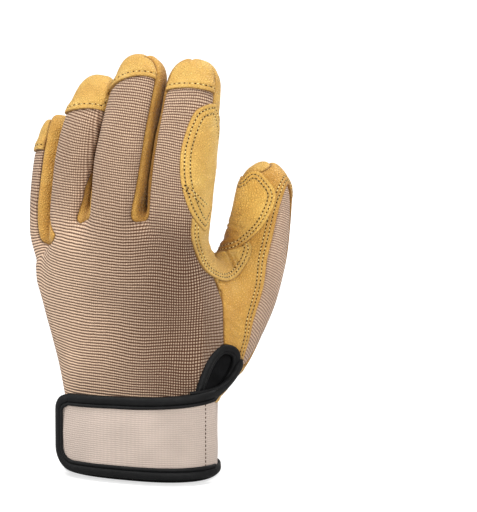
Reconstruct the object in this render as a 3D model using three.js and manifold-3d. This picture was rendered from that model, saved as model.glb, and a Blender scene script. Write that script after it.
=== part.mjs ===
// A left-hand rope-handling glove in its worn shape, standing on its cuff with the fingers up.
// Millimetres, +Z towards the fingertips, the back of the hand towards -Y and the thumb towards +X.
// The origin is the centre of the wrist opening, in the plane of the hem.
// The hand, four fingers and thumb are lofts joined into one hollow form. Every leather and
// knit panel is cut from its wall, and the sewn-on patches from a second layer over it.

import * as THREE from 'three';
import { mergeVertices } from 'three/addons/utils/BufferGeometryUtils.js';
import Module from 'manifold-3d';

const wasm = await Module();
wasm.setup();

// Walls and gaps
const WALL = 1.8; // leather and knit of the form
const PATCH = 1.3; // leather sewn on top
const GAP = 0.3; // between any two pieces
const SIDE = 0.5; // half height of a finger's side panel, as a share of the half depth

// Cuff, strap and bindings
const CUFF = { x: 1.5, width: 39.6, depth: 24.6, top: 37.6, wall: 1.6 }; // half width and half depth
const HEM = { height: 5.3, inside: 0.9, outside: 1.6 }; // how far it wraps past the band
const STRAP = { clear: 3.6, thick: 1.8, low: 0.4, high: 48, droop: 5, start: -14, end: -146, reach: 82, corner: 9 }; // degrees from +X
const STRAP_TAPE = { width: 5.2, thick: 3.4 };
const TAB = { x: -0.5, width: 28.5, thick: 1.5, holeX: -1, holeZ: 21.7, holeRadius: 6.4 };
const SLIT = { lip: 4.6, proud: 1.3, lining: 1 }; // lip is the width of the tape round the slit

const finish = (color, roughness) => () => new THREE.MeshStandardMaterial({ color, roughness, metalness: 0 });
const LEATHER = finish(0xd9ab52, 0.55);
const KNIT = finish(0xb89a86, 0.9);
const ELASTIC = finish(0xcdb8ab, 0.85);
const TAPE = finish(0x1b1c1e, 0.7);

// Sections of the hand from the cuff to the finger roots. z, zLeft and zRight are the heights in the
// middle and at the two edges, left and right the edges in X, y the middle of the thickness and
// depth half of it. archLeft and archRight bend the two edges towards the palm.
const HAND = [
  { z: 38, zLeft: 38, zRight: 38, left: -38.2, right: 41.2, y: 0, depth: 25.0, archLeft: 0, archRight: 0 },
  { z: 59, zLeft: 58, zRight: 58, left: -42.2, right: 43.0, y: 0, depth: 23.4, archLeft: 1, archRight: 0 },
  { z: 72, zLeft: 70, zRight: 71, left: -46.6, right: 43.4, y: 0, depth: 21.6, archLeft: 3, archRight: 1 },
  { z: 87, zLeft: 82, zRight: 85, left: -52.2, right: 42.6, y: 0, depth: 20.0, archLeft: 8, archRight: 1 },
  { z: 103, zLeft: 92, zRight: 98, left: -58.2, right: 41.2, y: -1, depth: 18.6, archLeft: 15, archRight: 2 },
  { z: 117, zLeft: 99, zRight: 110, left: -62.0, right: 39.8, y: -2, depth: 17.2, archLeft: 21, archRight: 3 },
  { z: 127, zLeft: 103, zRight: 117, left: -62.0, right: 38.0, y: -3, depth: 15.0, archLeft: 24, archRight: 4 },
  { z: 133, zLeft: 105, zRight: 121, left: -59.0, right: 34.0, y: -3, depth: 10.5, archLeft: 24, archRight: 4 },
];

// Sections of the fingers from inside the hand to the tip: the middle, half width and half depth.
// roll turns the back of a finger towards -X, in degrees, and tip is the length of its rounded end.
// pad and cap are the heights on the middle line where the palm-side and back-side tip panels begin.
const FINGERS = [
  { name: 'index', roll: 0, tip: 14, pad: 160, cap: 196.5, rows: [
    { x: 19.0, y: -1.0, z: 92, width: 14.0, depth: 14.5 },
    { x: 21.5, y: -1.0, z: 130, width: 15.0, depth: 14.2 },
    { x: 23.8, y: 2.5, z: 161, width: 15.0, depth: 13.4 },
    { x: 25.4, y: 9.5, z: 187, width: 13.6, depth: 12.4 },
    { x: 24.6, y: 22.5, z: 212.6, width: 12.2, depth: 11.2 },
  ] },
  { name: 'middle', roll: 5, tip: 14, pad: 160, cap: 201.5, rows: [
    { x: -11.5, y: -4.0, z: 92, width: 13.5, depth: 14.5 },
    { x: -9.6, y: -4.0, z: 132, width: 13.4, depth: 14.0 },
    { x: -7.6, y: -1.0, z: 160, width: 13.6, depth: 13.2 },
    { x: -5.6, y: 7.0, z: 186, width: 13.2, depth: 12.4 },
    { x: -2.8, y: 21.0, z: 213.5, width: 11.8, depth: 11.4 },
  ] },
  { name: 'ring', roll: 16, tip: 13, pad: 151, cap: 184, rows: [
    { x: -36.0, y: 3.0, z: 92, width: 12.0, depth: 13.0 },
    { x: -37.8, y: 3.0, z: 129, width: 12.8, depth: 13.0 },
    { x: -35.4, y: 6.5, z: 161, width: 12.6, depth: 12.6 },
    { x: -31.8, y: 12.5, z: 181, width: 12.0, depth: 12.0 },
    { x: -25.6, y: 24.0, z: 199.2, width: 11.2, depth: 11.0 },
  ] },
  { name: 'little', roll: 38, tip: 12, pad: 143, cap: 157, rows: [
    { x: -44.0, y: 8.0, z: 86, width: 7.0, depth: 8.0 },
    { x: -54.0, y: 18.5, z: 115, width: 10.4, depth: 11.0 },
    { x: -55.2, y: 21.5, z: 135, width: 10.4, depth: 10.8 },
    { x: -55.0, y: 26.5, z: 154, width: 10.2, depth: 10.4 },
    { x: -53.2, y: 35.0, z: 174.6, width: 9.6, depth: 9.8 },
  ] },
];

// Sections of the thumb from the heel of the hand to the tip.
const THUMB = { name: 'thumb', tip: 15, rows: [
  { x: 23.5, y: 4.0, z: 41, width: 15.0, depth: 16.0 },
  { x: 29.0, y: 9.0, z: 52, width: 17.0, depth: 17.0 },
  { x: 35.2, y: 17.0, z: 65, width: 18.4, depth: 18.2 },
  { x: 40.4, y: 27.0, z: 79, width: 18.0, depth: 18.6 },
  { x: 44.2, y: 37.0, z: 93, width: 17.0, depth: 17.8 },
  { x: 46.7, y: 45.0, z: 108, width: 15.8, depth: 16.2 },
  { x: 47.6, y: 51.0, z: 121, width: 14.6, depth: 14.6 },
  { x: 47.9, y: 56.0, z: 134, width: 13.6, depth: 13.2 },
  { x: 48.7, y: 61.0, z: 151.6, width: 12.4, depth: 11.6 },
] };

// The knit panel along the back of the thumb: its two edges in half widths, at heights on the middle line.
const THUMB_WINDOW = [
  { z: 62, low: 0.1, high: 0.3 },
  { z: 74, low: -0.5, high: 0.55 },
  { z: 98, low: -0.7, high: 0.7 },
  { z: 118, low: -0.7, high: 0.55 },
  { z: 137, low: -0.35, high: -0.2 },
];

// Outlines in X and Z.
const PALM_EDGE = [[-90, 52], [-60, 52], [-44, 54], [-26, 57], [-10, 62], [6, 69], [20, 79], [27, 92], [30, 110], [70, 110], [70, 260], [-90, 260]];
const SADDLE = [[28.5, 146], [31, 134], [33.5, 122], [38, 111], [45, 104], [54, 101], [58, 110], [52, 117], [44, 122], [41, 132], [40, 150]];

// The slit at the side of the wrist, seen along its own direction: across and up.
const SLIT_TURN = -8; // degrees from +X
const SLIT_OUTLINE = [[-9, 44], [-7, 53], [-2, 62], [3, 66], [8, 63], [9, 55], [4, 47], [-3, 42]];

const SQUARENESS = 2.5; // superellipse exponent of every section
const FINGER_SIDES = 12;
const HAND_SIDES = 20;

const { degToRad, lerp } = THREE.MathUtils;
const UP = new THREE.Vector3(0, 0, 1);

// Basic shapes

// Points of a unit superellipse.
function squircle(sides) {
  const power = v => Math.sign(v) * Math.abs(v) ** (2 / SQUARENESS);
  return Array.from({ length: sides }, (_, k) => {
    const angle = (k + 0.5) / sides * 2 * Math.PI;
    return { a: power(Math.cos(angle)), b: power(Math.sin(angle)) };
  });
}

// A closed geometry through rings of equal length. Open lofts are closed by fans at both ends,
// or at the last by a strip across the ring.
function loft(rings, looped = false, strip = false) {
  const sides = rings[0].length;
  const middle = ring => ring.reduce((sum, p) => sum.add(p), new THREE.Vector3()).divideScalar(sides);
  const points = rings.flat().map(p => p.clone());
  const index = [];
  const quad = (a, b, c, d) => index.push(a, b, c, a, c, d);
  for (let i = 0; i < (looped ? rings.length : rings.length - 1); i++) {
    const above = ((i + 1) % rings.length) * sides;
    for (let k = 0; k < sides; k++) {
      const next = (k + 1) % sides;
      quad(i * sides + k, i * sides + next, above + next, above + k);
    }
  }
  if (!looped) {
    const last = (rings.length - 1) * sides;
    const start = points.push(middle(rings[0])) - 1;
    for (let k = 0; k < sides; k++) index.push(start, (k + 1) % sides, k);
    if (strip) {
      for (let k = 0; k < sides / 2 - 1; k++) quad(last + k, last + k + 1, last + sides - 2 - k, last + sides - 1 - k);
    } else {
      const end = points.push(middle(rings.at(-1))) - 1;
      for (let k = 0; k < sides; k++) index.push(end, last + k, last + (k + 1) % sides);
    }
  }
  return new THREE.BufferGeometry().setFromPoints(points).setIndex(index);
}

// A geometry as a solid with its faces outwards.
function solid(geometry) {
  const bare = geometry.clone();
  bare.deleteAttribute('normal');
  bare.deleteAttribute('uv');
  const merged = mergeVertices(bare, 1e-4);
  const mesh = { numProp: 3, vertProperties: merged.attributes.position.array, triVerts: new Uint32Array(merged.index.array) };
  const body = new wasm.Manifold(new wasm.Mesh(mesh));
  if (body.volume() >= 0) return body;
  mesh.triVerts.reverse();
  return new wasm.Manifold(new wasm.Mesh(mesh));
}

// An outline drawn across and up, pushed along a level direction between two distances from the axis.
function prism(outline, turn, from, to, grow = 0) {
  const across = new THREE.Vector3(-Math.sin(degToRad(turn)), Math.cos(degToRad(turn)), 0);
  const along = new THREE.Vector3(Math.cos(degToRad(turn)), Math.sin(degToRad(turn)), 0);
  const shape = outline.map(([u, v]) => new THREE.Vector2(u, v));
  const centre = shape.reduce((sum, p) => sum.add(p), new THREE.Vector2()).divideScalar(shape.length);
  const grown = shape.map(p => p.clone().add(p.clone().sub(centre).setLength(grow)));
  const geometry = new THREE.ExtrudeGeometry(new THREE.Shape(grown), { depth: to - from, bevelEnabled: false });
  const matrix = new THREE.Matrix4().makeBasis(across, UP, along).setPosition(along.clone().multiplyScalar(from));
  return solid(geometry.applyMatrix4(matrix));
}

// A smooth closed outline through a few points.
function smooth(outline, count = 10) {
  const curve = new THREE.CatmullRomCurve3(outline.map(([u, v]) => new THREE.Vector3(u, v, 0)), true);
  return curve.getPoints(count).slice(0, count).map(p => [p.x, p.y]);
}

const joined = solids => solids.reduce((all, one) => all.add(one));
const largest = cut => cut.decompose().sort((a, b) => b.volume() - a.volume())[0];

// Digits

// A digit's frame at a share of its length: the middle, the heading, the two cross directions and half sizes.
function middleLine({ rows, roll }) {
  const curve = new THREE.CatmullRomCurve3(rows.map(row => new THREE.Vector3(row.x, row.y, row.z)));
  const facing = roll === undefined
    ? new THREE.Vector3(0.99, 0.12, 0)
    : new THREE.Vector3(-Math.sin(degToRad(roll)), -Math.cos(degToRad(roll)), 0);
  const last = rows.length - 1;
  return share => {
    const place = THREE.MathUtils.clamp(share * last, 0, last - 1e-6);
    const i = Math.floor(place);
    const size = key => lerp(rows[i][key], rows[i + 1][key], place - i);
    const inside = THREE.MathUtils.clamp(share, 0, 1);
    const heading = curve.getTangent(inside);
    const middle = curve.getPoint(inside).addScaledVector(heading, (share - inside) * 120);
    const side = new THREE.Vector3().crossVectors(heading, facing).normalize();
    const back = new THREE.Vector3().crossVectors(side, heading);
    return { middle, heading, side, back, width: size('width'), depth: size('depth') };
  };
}

const digits = [...FINGERS, THUMB].map(digit => {
  const last = digit.rows.length - 1;
  const [a, b] = digit.rows.slice(-2);
  const reach = Math.hypot(b.x - a.x, b.y - a.y, b.z - a.z) * last;
  return { ...digit, line: middleLine(digit), tipShare: digit.tip / reach, stations: Math.min(last + 2, 8) };
});
const [index, middle, ring, little, thumb] = digits;

// The share of a digit's length where its middle line is at a height.
function shareAt({ rows }, z) {
  const i = Math.min(Math.max(rows.findLastIndex(row => row.z <= z), 0), rows.length - 2);
  return (i + (z - rows[i].z) / (rows[i + 1].z - rows[i].z)) / (rows.length - 1);
}

// A digit's loft, rounded off at the tip, with its surface moved out by grow.
function digitForm({ line, tipShare, stations }, grow) {
  const ringAt = (share, scale, advance) => {
    const f = line(share);
    return squircle(FINGER_SIDES).map(({ a, b }) => f.middle.clone()
      .addScaledVector(f.side, a * (f.width + grow) * scale)
      .addScaledVector(f.back, b * (f.depth + grow) * scale)
      .addScaledVector(f.heading, advance));
  };
  const body = Array.from({ length: stations }, (_, i) => ringAt(i / (stations - 1) * (1 - tipShare), 1, 0));
  const end = [0.45, 0.8, 0.98].map(u => ringAt(1 - tipShare * (1 - u), (1 - u ** 2.5) ** 0.4, grow * u));
  return solid(loft([...body, ...end]));
}

// A block that follows a digit between two heights, between limits given in half sizes: left and right
// on the side direction, low and high on the back direction.
function block(digit, from, to, limits, grow = 0) {
  const steps = 4;
  const rings = Array.from({ length: steps }, (_, i) => {
    const z = lerp(from - grow, to + grow, i / (steps - 1));
    const f = digit.line(shareAt(digit, z));
    const { left, right, low, high } = typeof limits === 'function' ? limits(z) : limits;
    const corner = (a, b, da, db) => f.middle.clone()
      .addScaledVector(f.side, a * f.width + da * grow)
      .addScaledVector(f.back, b * f.depth + db * grow);
    return [corner(left, low, -1, -1), corner(right, low, 1, -1), corner(right, high, 1, 1), corner(left, high, -1, 1)];
  });
  return solid(loft(rings));
}

// The hand

// A point of the hand at a section, with a and b in half sizes.
function handPoint(row, a, b, grow) {
  const half = (row.right - row.left) / 2;
  const rise = (row.zRight - row.zLeft) / 2 * a + ((row.zRight + row.zLeft) / 2 - row.z) * a * a;
  return new THREE.Vector3(
    (row.left + row.right) / 2 + a * (half + grow),
    row.y + b * (row.depth + grow) + (a < 0 ? row.archLeft : row.archRight) * a * a,
    row.z + rise,
  );
}

function handForm(grow, below = 0) {
  const rings = HAND.map(row => squircle(HAND_SIDES).map(({ a, b }) => handPoint(row, a, b, grow)));
  rings[0].forEach(p => p.setZ(p.z - below));
  rings.at(-1).forEach(p => p.setZ(p.z + grow));
  return solid(loft(rings, false, true));
}

// Everything on the back side of the hand's middle surface, down to the finger crotches.
function handBack(grow = 0) {
  const shares = [-1.4, -1, -0.7, -0.4, 0, 0.4, 0.7, 1, 1.5];
  const rings = HAND.map((row, i) => {
    const edge = shares.map(a => handPoint(row, a, 0, 0).add(new THREE.Vector3(0, grow, i === 0 ? -12 : i === HAND.length - 1 ? 30 : 0)));
    return [...edge, ...edge.toReversed().map(p => p.clone().setY(-70))];
  });
  return solid(loft(rings));
}

const form = (grow, below = 0) => joined([handForm(grow, below), ...digits.map(digit => digitForm(digit, grow))]);

const floor = solid(new THREE.BoxGeometry(300, 300, 60).translate(0, 0, HAND[0].z - 30));
const shell = form(0).subtract(form(-WALL, 5)).subtract(floor);
const layer = form(GAP + PATCH).subtract(form(GAP)).subtract(floor);

// Cutting panels out of a wall, each leaving a gap to its neighbours

const pieces = new Map();
const wall = { form: shell, layer };
function take(name, source, region, regionGrown) {
  pieces.set(name, largest(wall[source].intersect(region)));
  wall[source] = wall[source].subtract(regionGrown);
}
const takeBlock = (name, source, blocks) => take(name, source,
  joined(blocks.map(b => block(...b))), joined(blocks.map(b => block(...b, GAP))));

// The slit: its tape and lining, and the hole they leave in the wall
{
  const hole = grow => prism(smooth(SLIT_OUTLINE), SLIT_TURN, 20, 75, grow);
  const tape = form(SLIT.proud).subtract(form(-WALL - SLIT.proud, 5)).subtract(floor);
  pieces.set('slit_binding', largest(tape.intersect(hole(SLIT.lip)).subtract(hole(0))));
  const inner = form(-WALL - SLIT.proud - GAP, 5);
  pieces.set('slit_lining', largest(inner.subtract(form(-WALL - SLIT.proud - GAP - SLIT.lining, 5)).subtract(floor).intersect(hole(SLIT.lip))));
  wall.form = wall.form.subtract(hole(SLIT.lip + GAP));
  wall.layer = wall.layer.subtract(hole(SLIT.lip + GAP));
}

// Thumb
const windowLimits = z => {
  const i = Math.min(Math.max(THUMB_WINDOW.findLastIndex(row => row.z <= z), 0), THUMB_WINDOW.length - 2);
  const [a, b] = [THUMB_WINDOW[i], THUMB_WINDOW[i + 1]];
  const t = (z - a.z) / (b.z - a.z);
  return { left: lerp(a.low, b.low, t), right: lerp(a.high, b.high, t), low: 0.2, high: 1.5 };
};
takeBlock('thumb_knit', 'form', [[thumb, THUMB_WINDOW[0].z, THUMB_WINDOW.at(-1).z, windowLimits]]);
take('thumb_leather', 'form', digitForm(thumb, 0.02), digitForm(thumb, GAP));

// Sides of the fingers. Neighbours share one panel that runs through the crotch between them.
const towardsThumb = { left: 0.2, right: 1.22, low: -SIDE, high: SIDE };
const towardsLittle = { left: -1.22, right: -0.2, low: -SIDE, high: SIDE };
const sideEnd = digit => digit.rows.at(-1).z - 5;
takeBlock('side_strip_index', 'form', [[index, 140, sideEnd(index), towardsThumb]]);
takeBlock('fourchette_index_middle', 'form', [[index, 127, sideEnd(index), towardsLittle], [middle, 127, sideEnd(middle), towardsThumb]]);
takeBlock('fourchette_middle_ring', 'form', [[middle, 123, sideEnd(middle), towardsLittle], [ring, 123, sideEnd(ring), towardsThumb]]);
takeBlock('fourchette_ring_little', 'form', [[ring, 110, sideEnd(ring), towardsLittle], [little, 110, sideEnd(little), towardsThumb]]);
takeBlock('side_strip_little', 'form', [[little, 118, sideEnd(little), towardsLittle]]);

// Tip panels on the back and palm sides
for (const digit of [index, middle, ring, little]) {
  takeBlock(`tip_cap_${digit.name}`, 'form', [[digit, digit.cap, digit.rows.at(-1).z + 5, { left: -1.25, right: 1.25, low: 0, high: 1.6 }]]);
  takeBlock(`finger_pad_${digit.name}`, 'form', [[digit, digit.pad, digit.rows.at(-1).z + 5, { left: -1.25, right: 1.25, low: -1.6, high: 0 }]]);
}

// The back in one piece with the backs of the fingers, then the palm in two
const fingerBacks = grow => [index, middle, ring, little].map(digit =>
  block(digit, 118, digit.cap, { left: -1.08, right: 1.08, low: 0.1, high: 1.6 }, grow));
take('back_knit', 'form', joined([handBack(), ...fingerBacks(0)]), joined([handBack(GAP), ...fingerBacks(GAP)]));
take('palm_leather', 'form', prism(PALM_EDGE.map(([x, z]) => [-x, z]), 90, -60, 90), prism(PALM_EDGE.map(([x, z]) => [-x, z - GAP]), 90, -60, 90));
pieces.set('palm_heel', largest(wall.form));

// Sewn-on patches
takeBlock('index_patch', 'layer', [[index, 146, 188, { left: 0.35, right: 1.4, low: -1.3, high: 1.3 }]]);
takeBlock('thumb_pad_patch', 'layer', [[thumb, 108, 147, { left: -1.4, right: 1.4, low: -1.4, high: 0.1 }]]);
{
  const outline = smooth(SADDLE, 12).map(([x, z]) => [-x, z]);
  take('thumb_saddle', 'layer', prism(outline, 90, -40, 60), prism(outline, 90, -40, 60, GAP));
}

// Cuff

// A point on the cuff's oval, moved out by offset.
function cuffPoint(angle, offset, z) {
  const power = (v, p) => Math.sign(v) * Math.abs(v) ** p;
  const [a, b] = [power(Math.cos(angle), 2 / SQUARENESS), power(Math.sin(angle), 2 / SQUARENESS)];
  const normal = new THREE.Vector3(power(a, SQUARENESS - 1) / CUFF.width, power(b, SQUARENESS - 1) / CUFF.depth, 0).normalize();
  return new THREE.Vector3(CUFF.x + a * CUFF.width, b * CUFF.depth, z).addScaledVector(normal, offset);
}

// A wall round the oval between two offsets and two heights.
function cuffWall(inner, outer, low, high, sides = 30) {
  const rings = Array.from({ length: sides }, (_, k) => {
    const angle = k / sides * 2 * Math.PI;
    return [cuffPoint(angle, outer, low), cuffPoint(angle, outer, high), cuffPoint(angle, inner, high), cuffPoint(angle, inner, low)];
  });
  return solid(loft(rings, true));
}

{
  const tabHole = solid(new THREE.CylinderGeometry(TAB.holeRadius, TAB.holeRadius, 60, 20).translate(TAB.holeX, 30, TAB.holeZ));
  const tabBlock = solid(new THREE.BoxGeometry(TAB.width, 60, 60).translate(TAB.x, 30, HEM.height + GAP + 30));
  const hem = cuffWall(-CUFF.wall - HEM.inside, HEM.outside, 0, HEM.height).subtract(cuffWall(-CUFF.wall - GAP, GAP, 1.6, 60));
  const tab = cuffWall(GAP, GAP + TAB.thick, HEM.height + GAP, CUFF.top);
  pieces.set('cuff_band', cuffWall(-CUFF.wall, 0, 1.6 + GAP, CUFF.top).subtract(tabHole));
  pieces.set('hem_binding', hem);
  pieces.set('cuff_tab', largest(tab.intersect(tabBlock).subtract(tabHole)));
}

// The strap follows the cuff across the back and stands off at its free end.
{
  const inner = share => HEM.outside + GAP + STRAP.clear * 0.2 + STRAP.clear * share ** 3;
  const angleAt = share => degToRad(lerp(STRAP.start, STRAP.end, share));
  const { reach } = STRAP; // length along the cuff
  const steps = 11;
  const drop = left => (left >= STRAP.corner ? 0 : STRAP.corner - Math.sqrt(STRAP.corner ** 2 - (STRAP.corner - left) ** 2));
  const shares = [...Array.from({ length: steps }, (_, i) => i / steps * (1 - STRAP.corner / reach)),
    ...[1, 0.75, 0.5, 0.25, 0.08].map(left => 1 - left * STRAP.corner / reach)];
  const panel = shares.map(share => {
    const d = drop((1 - share) * reach);
    const [low, high] = [STRAP.low + STRAP_TAPE.width + d * 0.6, STRAP.high - STRAP.droop * share - STRAP_TAPE.width - d * 0.6];
    const [near, far] = [inner(share) + 0.8, inner(share) + 0.8 + STRAP.thick];
    const a = angleAt(share);
    return [cuffPoint(a, near, low), cuffPoint(a, near, high), cuffPoint(a, far, high), cuffPoint(a, far, low)];
  }).filter((_, i) => shares[i] <= 1 - (STRAP_TAPE.width + GAP) / reach);
  const rim = shares.map(share => {
    const d = drop((1 - share) * reach);
    const a = angleAt(share);
    const [near, far] = [inner(share), inner(share) + STRAP_TAPE.thick];
    const [low, high] = [STRAP.low + d, STRAP.high - STRAP.droop * share - d];
    return [cuffPoint(a, near, low), cuffPoint(a, near, high), cuffPoint(a, far, high), cuffPoint(a, far, low)];
  });
  const window = panel.map(([a, b, c, d]) => {
    const out = c.clone().sub(b).normalize();
    return [a.clone().addScaledVector(out, -3), b.clone().addScaledVector(out, -3), c.clone().addScaledVector(out, 4), d.clone().addScaledVector(out, 4)];
  });
  window.unshift(window[0].map((p, k) => p.clone().add(window[0][k].clone().sub(window[1][k]))));
  const grownWindow = window.map(([a, b, c, d]) => [a.clone().setZ(a.z - GAP), b.clone().setZ(b.z + GAP), c.clone().setZ(c.z + GAP), d.clone().setZ(d.z - GAP)]);
  const tail = grownWindow.at(-1).map((p, k) => p.clone().add(p.clone().sub(grownWindow.at(-2)[k]).setLength(GAP)));
  pieces.set('wrist_strap', solid(loft(panel)));
  pieces.set('strap_binding', solid(loft(rim)).subtract(solid(loft([...grownWindow, tail]))));
}

// Scene

const MATERIALS = { knit: KNIT, cuff_band: ELASTIC, wrist_strap: ELASTIC, binding: TAPE, lining: TAPE };
const group = new THREE.Group();
for (const [name, body] of pieces) {
  const { vertProperties, triVerts } = body.getMesh();
  const geometry = new THREE.BufferGeometry();
  geometry.setAttribute('position', new THREE.BufferAttribute(new Float32Array(vertProperties), 3));
  geometry.setIndex(new THREE.BufferAttribute(new Uint32Array(triVerts), 1));
  geometry.computeVertexNormals();
  const kind = Object.keys(MATERIALS).find(key => name.includes(key));
  const mesh = new THREE.Mesh(geometry, (kind ? MATERIALS[kind] : LEATHER)());
  mesh.name = name;
  group.add(mesh);
}

export default group;
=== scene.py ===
import math

import bpy
import numpy as np
from bpy.props import FloatProperty, FloatVectorProperty, PointerProperty
from bpy.types import NodeSocket, Operator, Panel, PropertyGroup
from mathutils import Matrix, Vector
from mathutils.bvhtree import BVHTree
from mathutils.kdtree import KDTree


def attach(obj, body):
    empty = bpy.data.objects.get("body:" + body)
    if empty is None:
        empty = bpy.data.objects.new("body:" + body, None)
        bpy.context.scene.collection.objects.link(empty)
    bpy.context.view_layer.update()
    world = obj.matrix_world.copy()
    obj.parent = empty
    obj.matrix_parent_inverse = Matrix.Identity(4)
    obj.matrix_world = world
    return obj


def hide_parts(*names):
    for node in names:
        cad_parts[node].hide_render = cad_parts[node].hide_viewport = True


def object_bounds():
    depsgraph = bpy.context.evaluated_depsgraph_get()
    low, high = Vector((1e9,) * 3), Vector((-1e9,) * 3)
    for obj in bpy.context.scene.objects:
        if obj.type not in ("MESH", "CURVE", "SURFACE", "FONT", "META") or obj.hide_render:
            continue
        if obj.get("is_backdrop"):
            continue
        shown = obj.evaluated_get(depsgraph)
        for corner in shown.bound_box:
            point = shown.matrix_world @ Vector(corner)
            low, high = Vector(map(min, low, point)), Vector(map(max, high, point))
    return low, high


bl_info = {
    "name": "Belay glove",
    "version": (1, 0, 0),
    "blender": (4, 5, 0),
    "location": "3D View > Sidebar > Glove",
    "description": "Makes a left-hand leather and knit rope glove round its packed CAD part",
    "category": "Object",
}

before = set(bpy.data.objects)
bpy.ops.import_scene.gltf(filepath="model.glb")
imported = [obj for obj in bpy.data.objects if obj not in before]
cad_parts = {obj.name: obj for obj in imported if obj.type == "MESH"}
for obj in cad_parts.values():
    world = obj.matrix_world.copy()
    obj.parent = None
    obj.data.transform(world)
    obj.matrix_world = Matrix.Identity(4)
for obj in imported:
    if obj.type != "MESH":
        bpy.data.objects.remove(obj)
START_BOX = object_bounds()
MM = 0.001
# The view from the back, 20 degrees round and 13 degrees up: many outlines are given as across and up in it
TURN, RISE = math.radians(20), math.radians(13)
RIGHT = np.array([math.cos(TURN), math.sin(TURN), 0])
UP = np.array([-math.sin(TURN) * math.sin(RISE), math.cos(TURN) * math.sin(RISE), math.cos(RISE)])
TOWARD = np.array([math.sin(TURN) * math.cos(RISE), -math.cos(TURN) * math.cos(RISE), math.sin(RISE)])
# The ways to the right and up in which flat lines of stitches are thrown, to four places
BACK_VIEW = (np.array([0.9397, 0.3420, 0]), np.array([-0.0769, 0.2114, 0.9744]))
PALM_VIEW = (np.array([-1.0, 0, 0]), np.array([0, 0, 1.0]))

# The form, in millimetres. The wrist opening's centre is the origin, and the fingers point up.
# The thumb is towards +X, and the back of the hand towards -Y.

SQUARENESS = 2.5
HAND = [  # z, zLeft, zRight, left, right, y, depth, archLeft, archRight
    (28, 28, 28, -36.5, 40.5, 0, 25.4, 0, 0),
    (38, 38, 38, -38.2, 41.2, 0, 25.0, 0, 0),
    (59, 58, 58, -43.2, 43.0, 0, 23.4, 1, 0),
    (72, 70, 71, -47.8, 43.4, 0, 21.6, 3, 1),
    (87, 82, 85, -53.4, 42.6, 0, 20.0, 8, 1),
    (103, 92, 98, -60.2, 41.0, -0.8, 18.2, 15, 2),
    (117, 99, 110, -61.6, 37.8, -1.2, 16.0, 20, 3),
    (127, 103, 117, -58.5, 33.5, -1.5, 12.8, 22, 4),
    (133, 105, 121, -55.0, 28.0, -1.5, 8.5, 22, 4),
]
# Roll of the back, tip length, heights of the pad's and the cap's seam, and rows of x, y, z, half width, half depth
FINGERS = {
    'index': (0, 14, 160, 194.9, [(19.0, -1.0, 92, 14.0, 14.5), (21.5, -1.0, 130, 15.0, 14.2),
        (23.5, 2.5, 161, 15.6, 13.4), (24.8, 9.5, 187, 14.0, 12.4), (24.2, 22.0, 210.8, 11.8, 11.2)]),
    'middle': (5, 14, 160, 198.3, [(-11.5, -4.0, 92, 13.5, 14.5), (-9.6, -4.0, 132, 13.4, 14.0),
        (-7.2, -1.0, 160, 14.2, 13.2), (-4.8, 7.0, 186, 13.6, 12.4), (-2.2, 20.6, 211.3, 11.5, 11.4)]),
    'ring': (16, 13, 151, 180.4, [(-35.0, 3.0, 92, 11.5, 13.0), (-35.4, 3.0, 129, 11.3, 13.0),
        (-33.2, 6.5, 161, 11.4, 12.6), (-29.6, 12.5, 181, 11.2, 12.0), (-24.0, 23.4, 197.6, 10.8, 11.0)]),
    'little': (38, 12, 143, 155.7, [(-44.0, 8.0, 86, 7.0, 8.0), (-54.0, 18.5, 115, 10.4, 11.0),
        (-55.2, 21.5, 135, 10.4, 10.8), (-55.0, 26.5, 154, 10.2, 10.4), (-53.2, 34.6, 173.4, 9.6, 9.8)]),
}
TIP_HEIGHT = {name: rows[-1][2] for name, (*_, rows) in FINGERS.items()}
# How much further round the strips lie at the roots
ROOT_SPREAD = {'little': (0, 0.58), 'ring': (0.35, 0.1), 'middle': (0.1, 0.1)}
# Tilt and bend of the cap's lower edge
CAP_EDGE = {'index': (0.6, -0.8), 'middle': (3.8, -2.6), 'ring': (3.0, -0.6), 'little': (0.5, -0.5)}
THUMB = (15, [(23.5, 4.0, 41, 15.0, 16.0), (29.0, 9.0, 52, 17.0, 17.0), (35.2, 17.0, 65, 18.4, 18.2),
    (40.4, 27.0, 79, 18.0, 18.6), (44.2, 37.0, 93, 17.0, 17.8), (46.7, 45.0, 108, 15.8, 16.2),
    (47.6, 51.0, 121, 14.6, 14.6), (47.9, 56.0, 134, 13.6, 13.2), (48.7, 61.0, 151.6, 12.4, 11.6)])
CUFF = {'x': 1.5, 'width': 39.6, 'depth': 24.6, 'top': 37.6, 'wall': 1.6}
HEM_PROUD = 1.6
SLIT_TURN = math.radians(-8)
SLIT = [(-6.2, 44), (-4.4, 53), (0.6, 61.6), (6, 65.4), (11, 63), (12, 55), (7, 47), (0, 42)]  # across, up
BODY_FLOOR, HAND_TOP = 38.0, 155.0  # heights between which the hand's own form is made
FAR, NO_EDGE = 60.0, 99.0  # distances that stand for nothing near
SLIT_ROOM, LINING_ROOM = 3.0, 4.0  # how far outside the slit's outline the panels and its lining end
# The heel's upper edge on the palm: x, z
PALM_EDGE = [(-90, 57), (-60, 57), (-44, 59), (-28.6, 61.9), (-16, 63.7), (-5, 67), (3.5, 70.3), (13, 75.3), (20, 78),
    (27, 80.5), (33, 83.5), (38, 90), (45, 99), (60, 110)]
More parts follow.
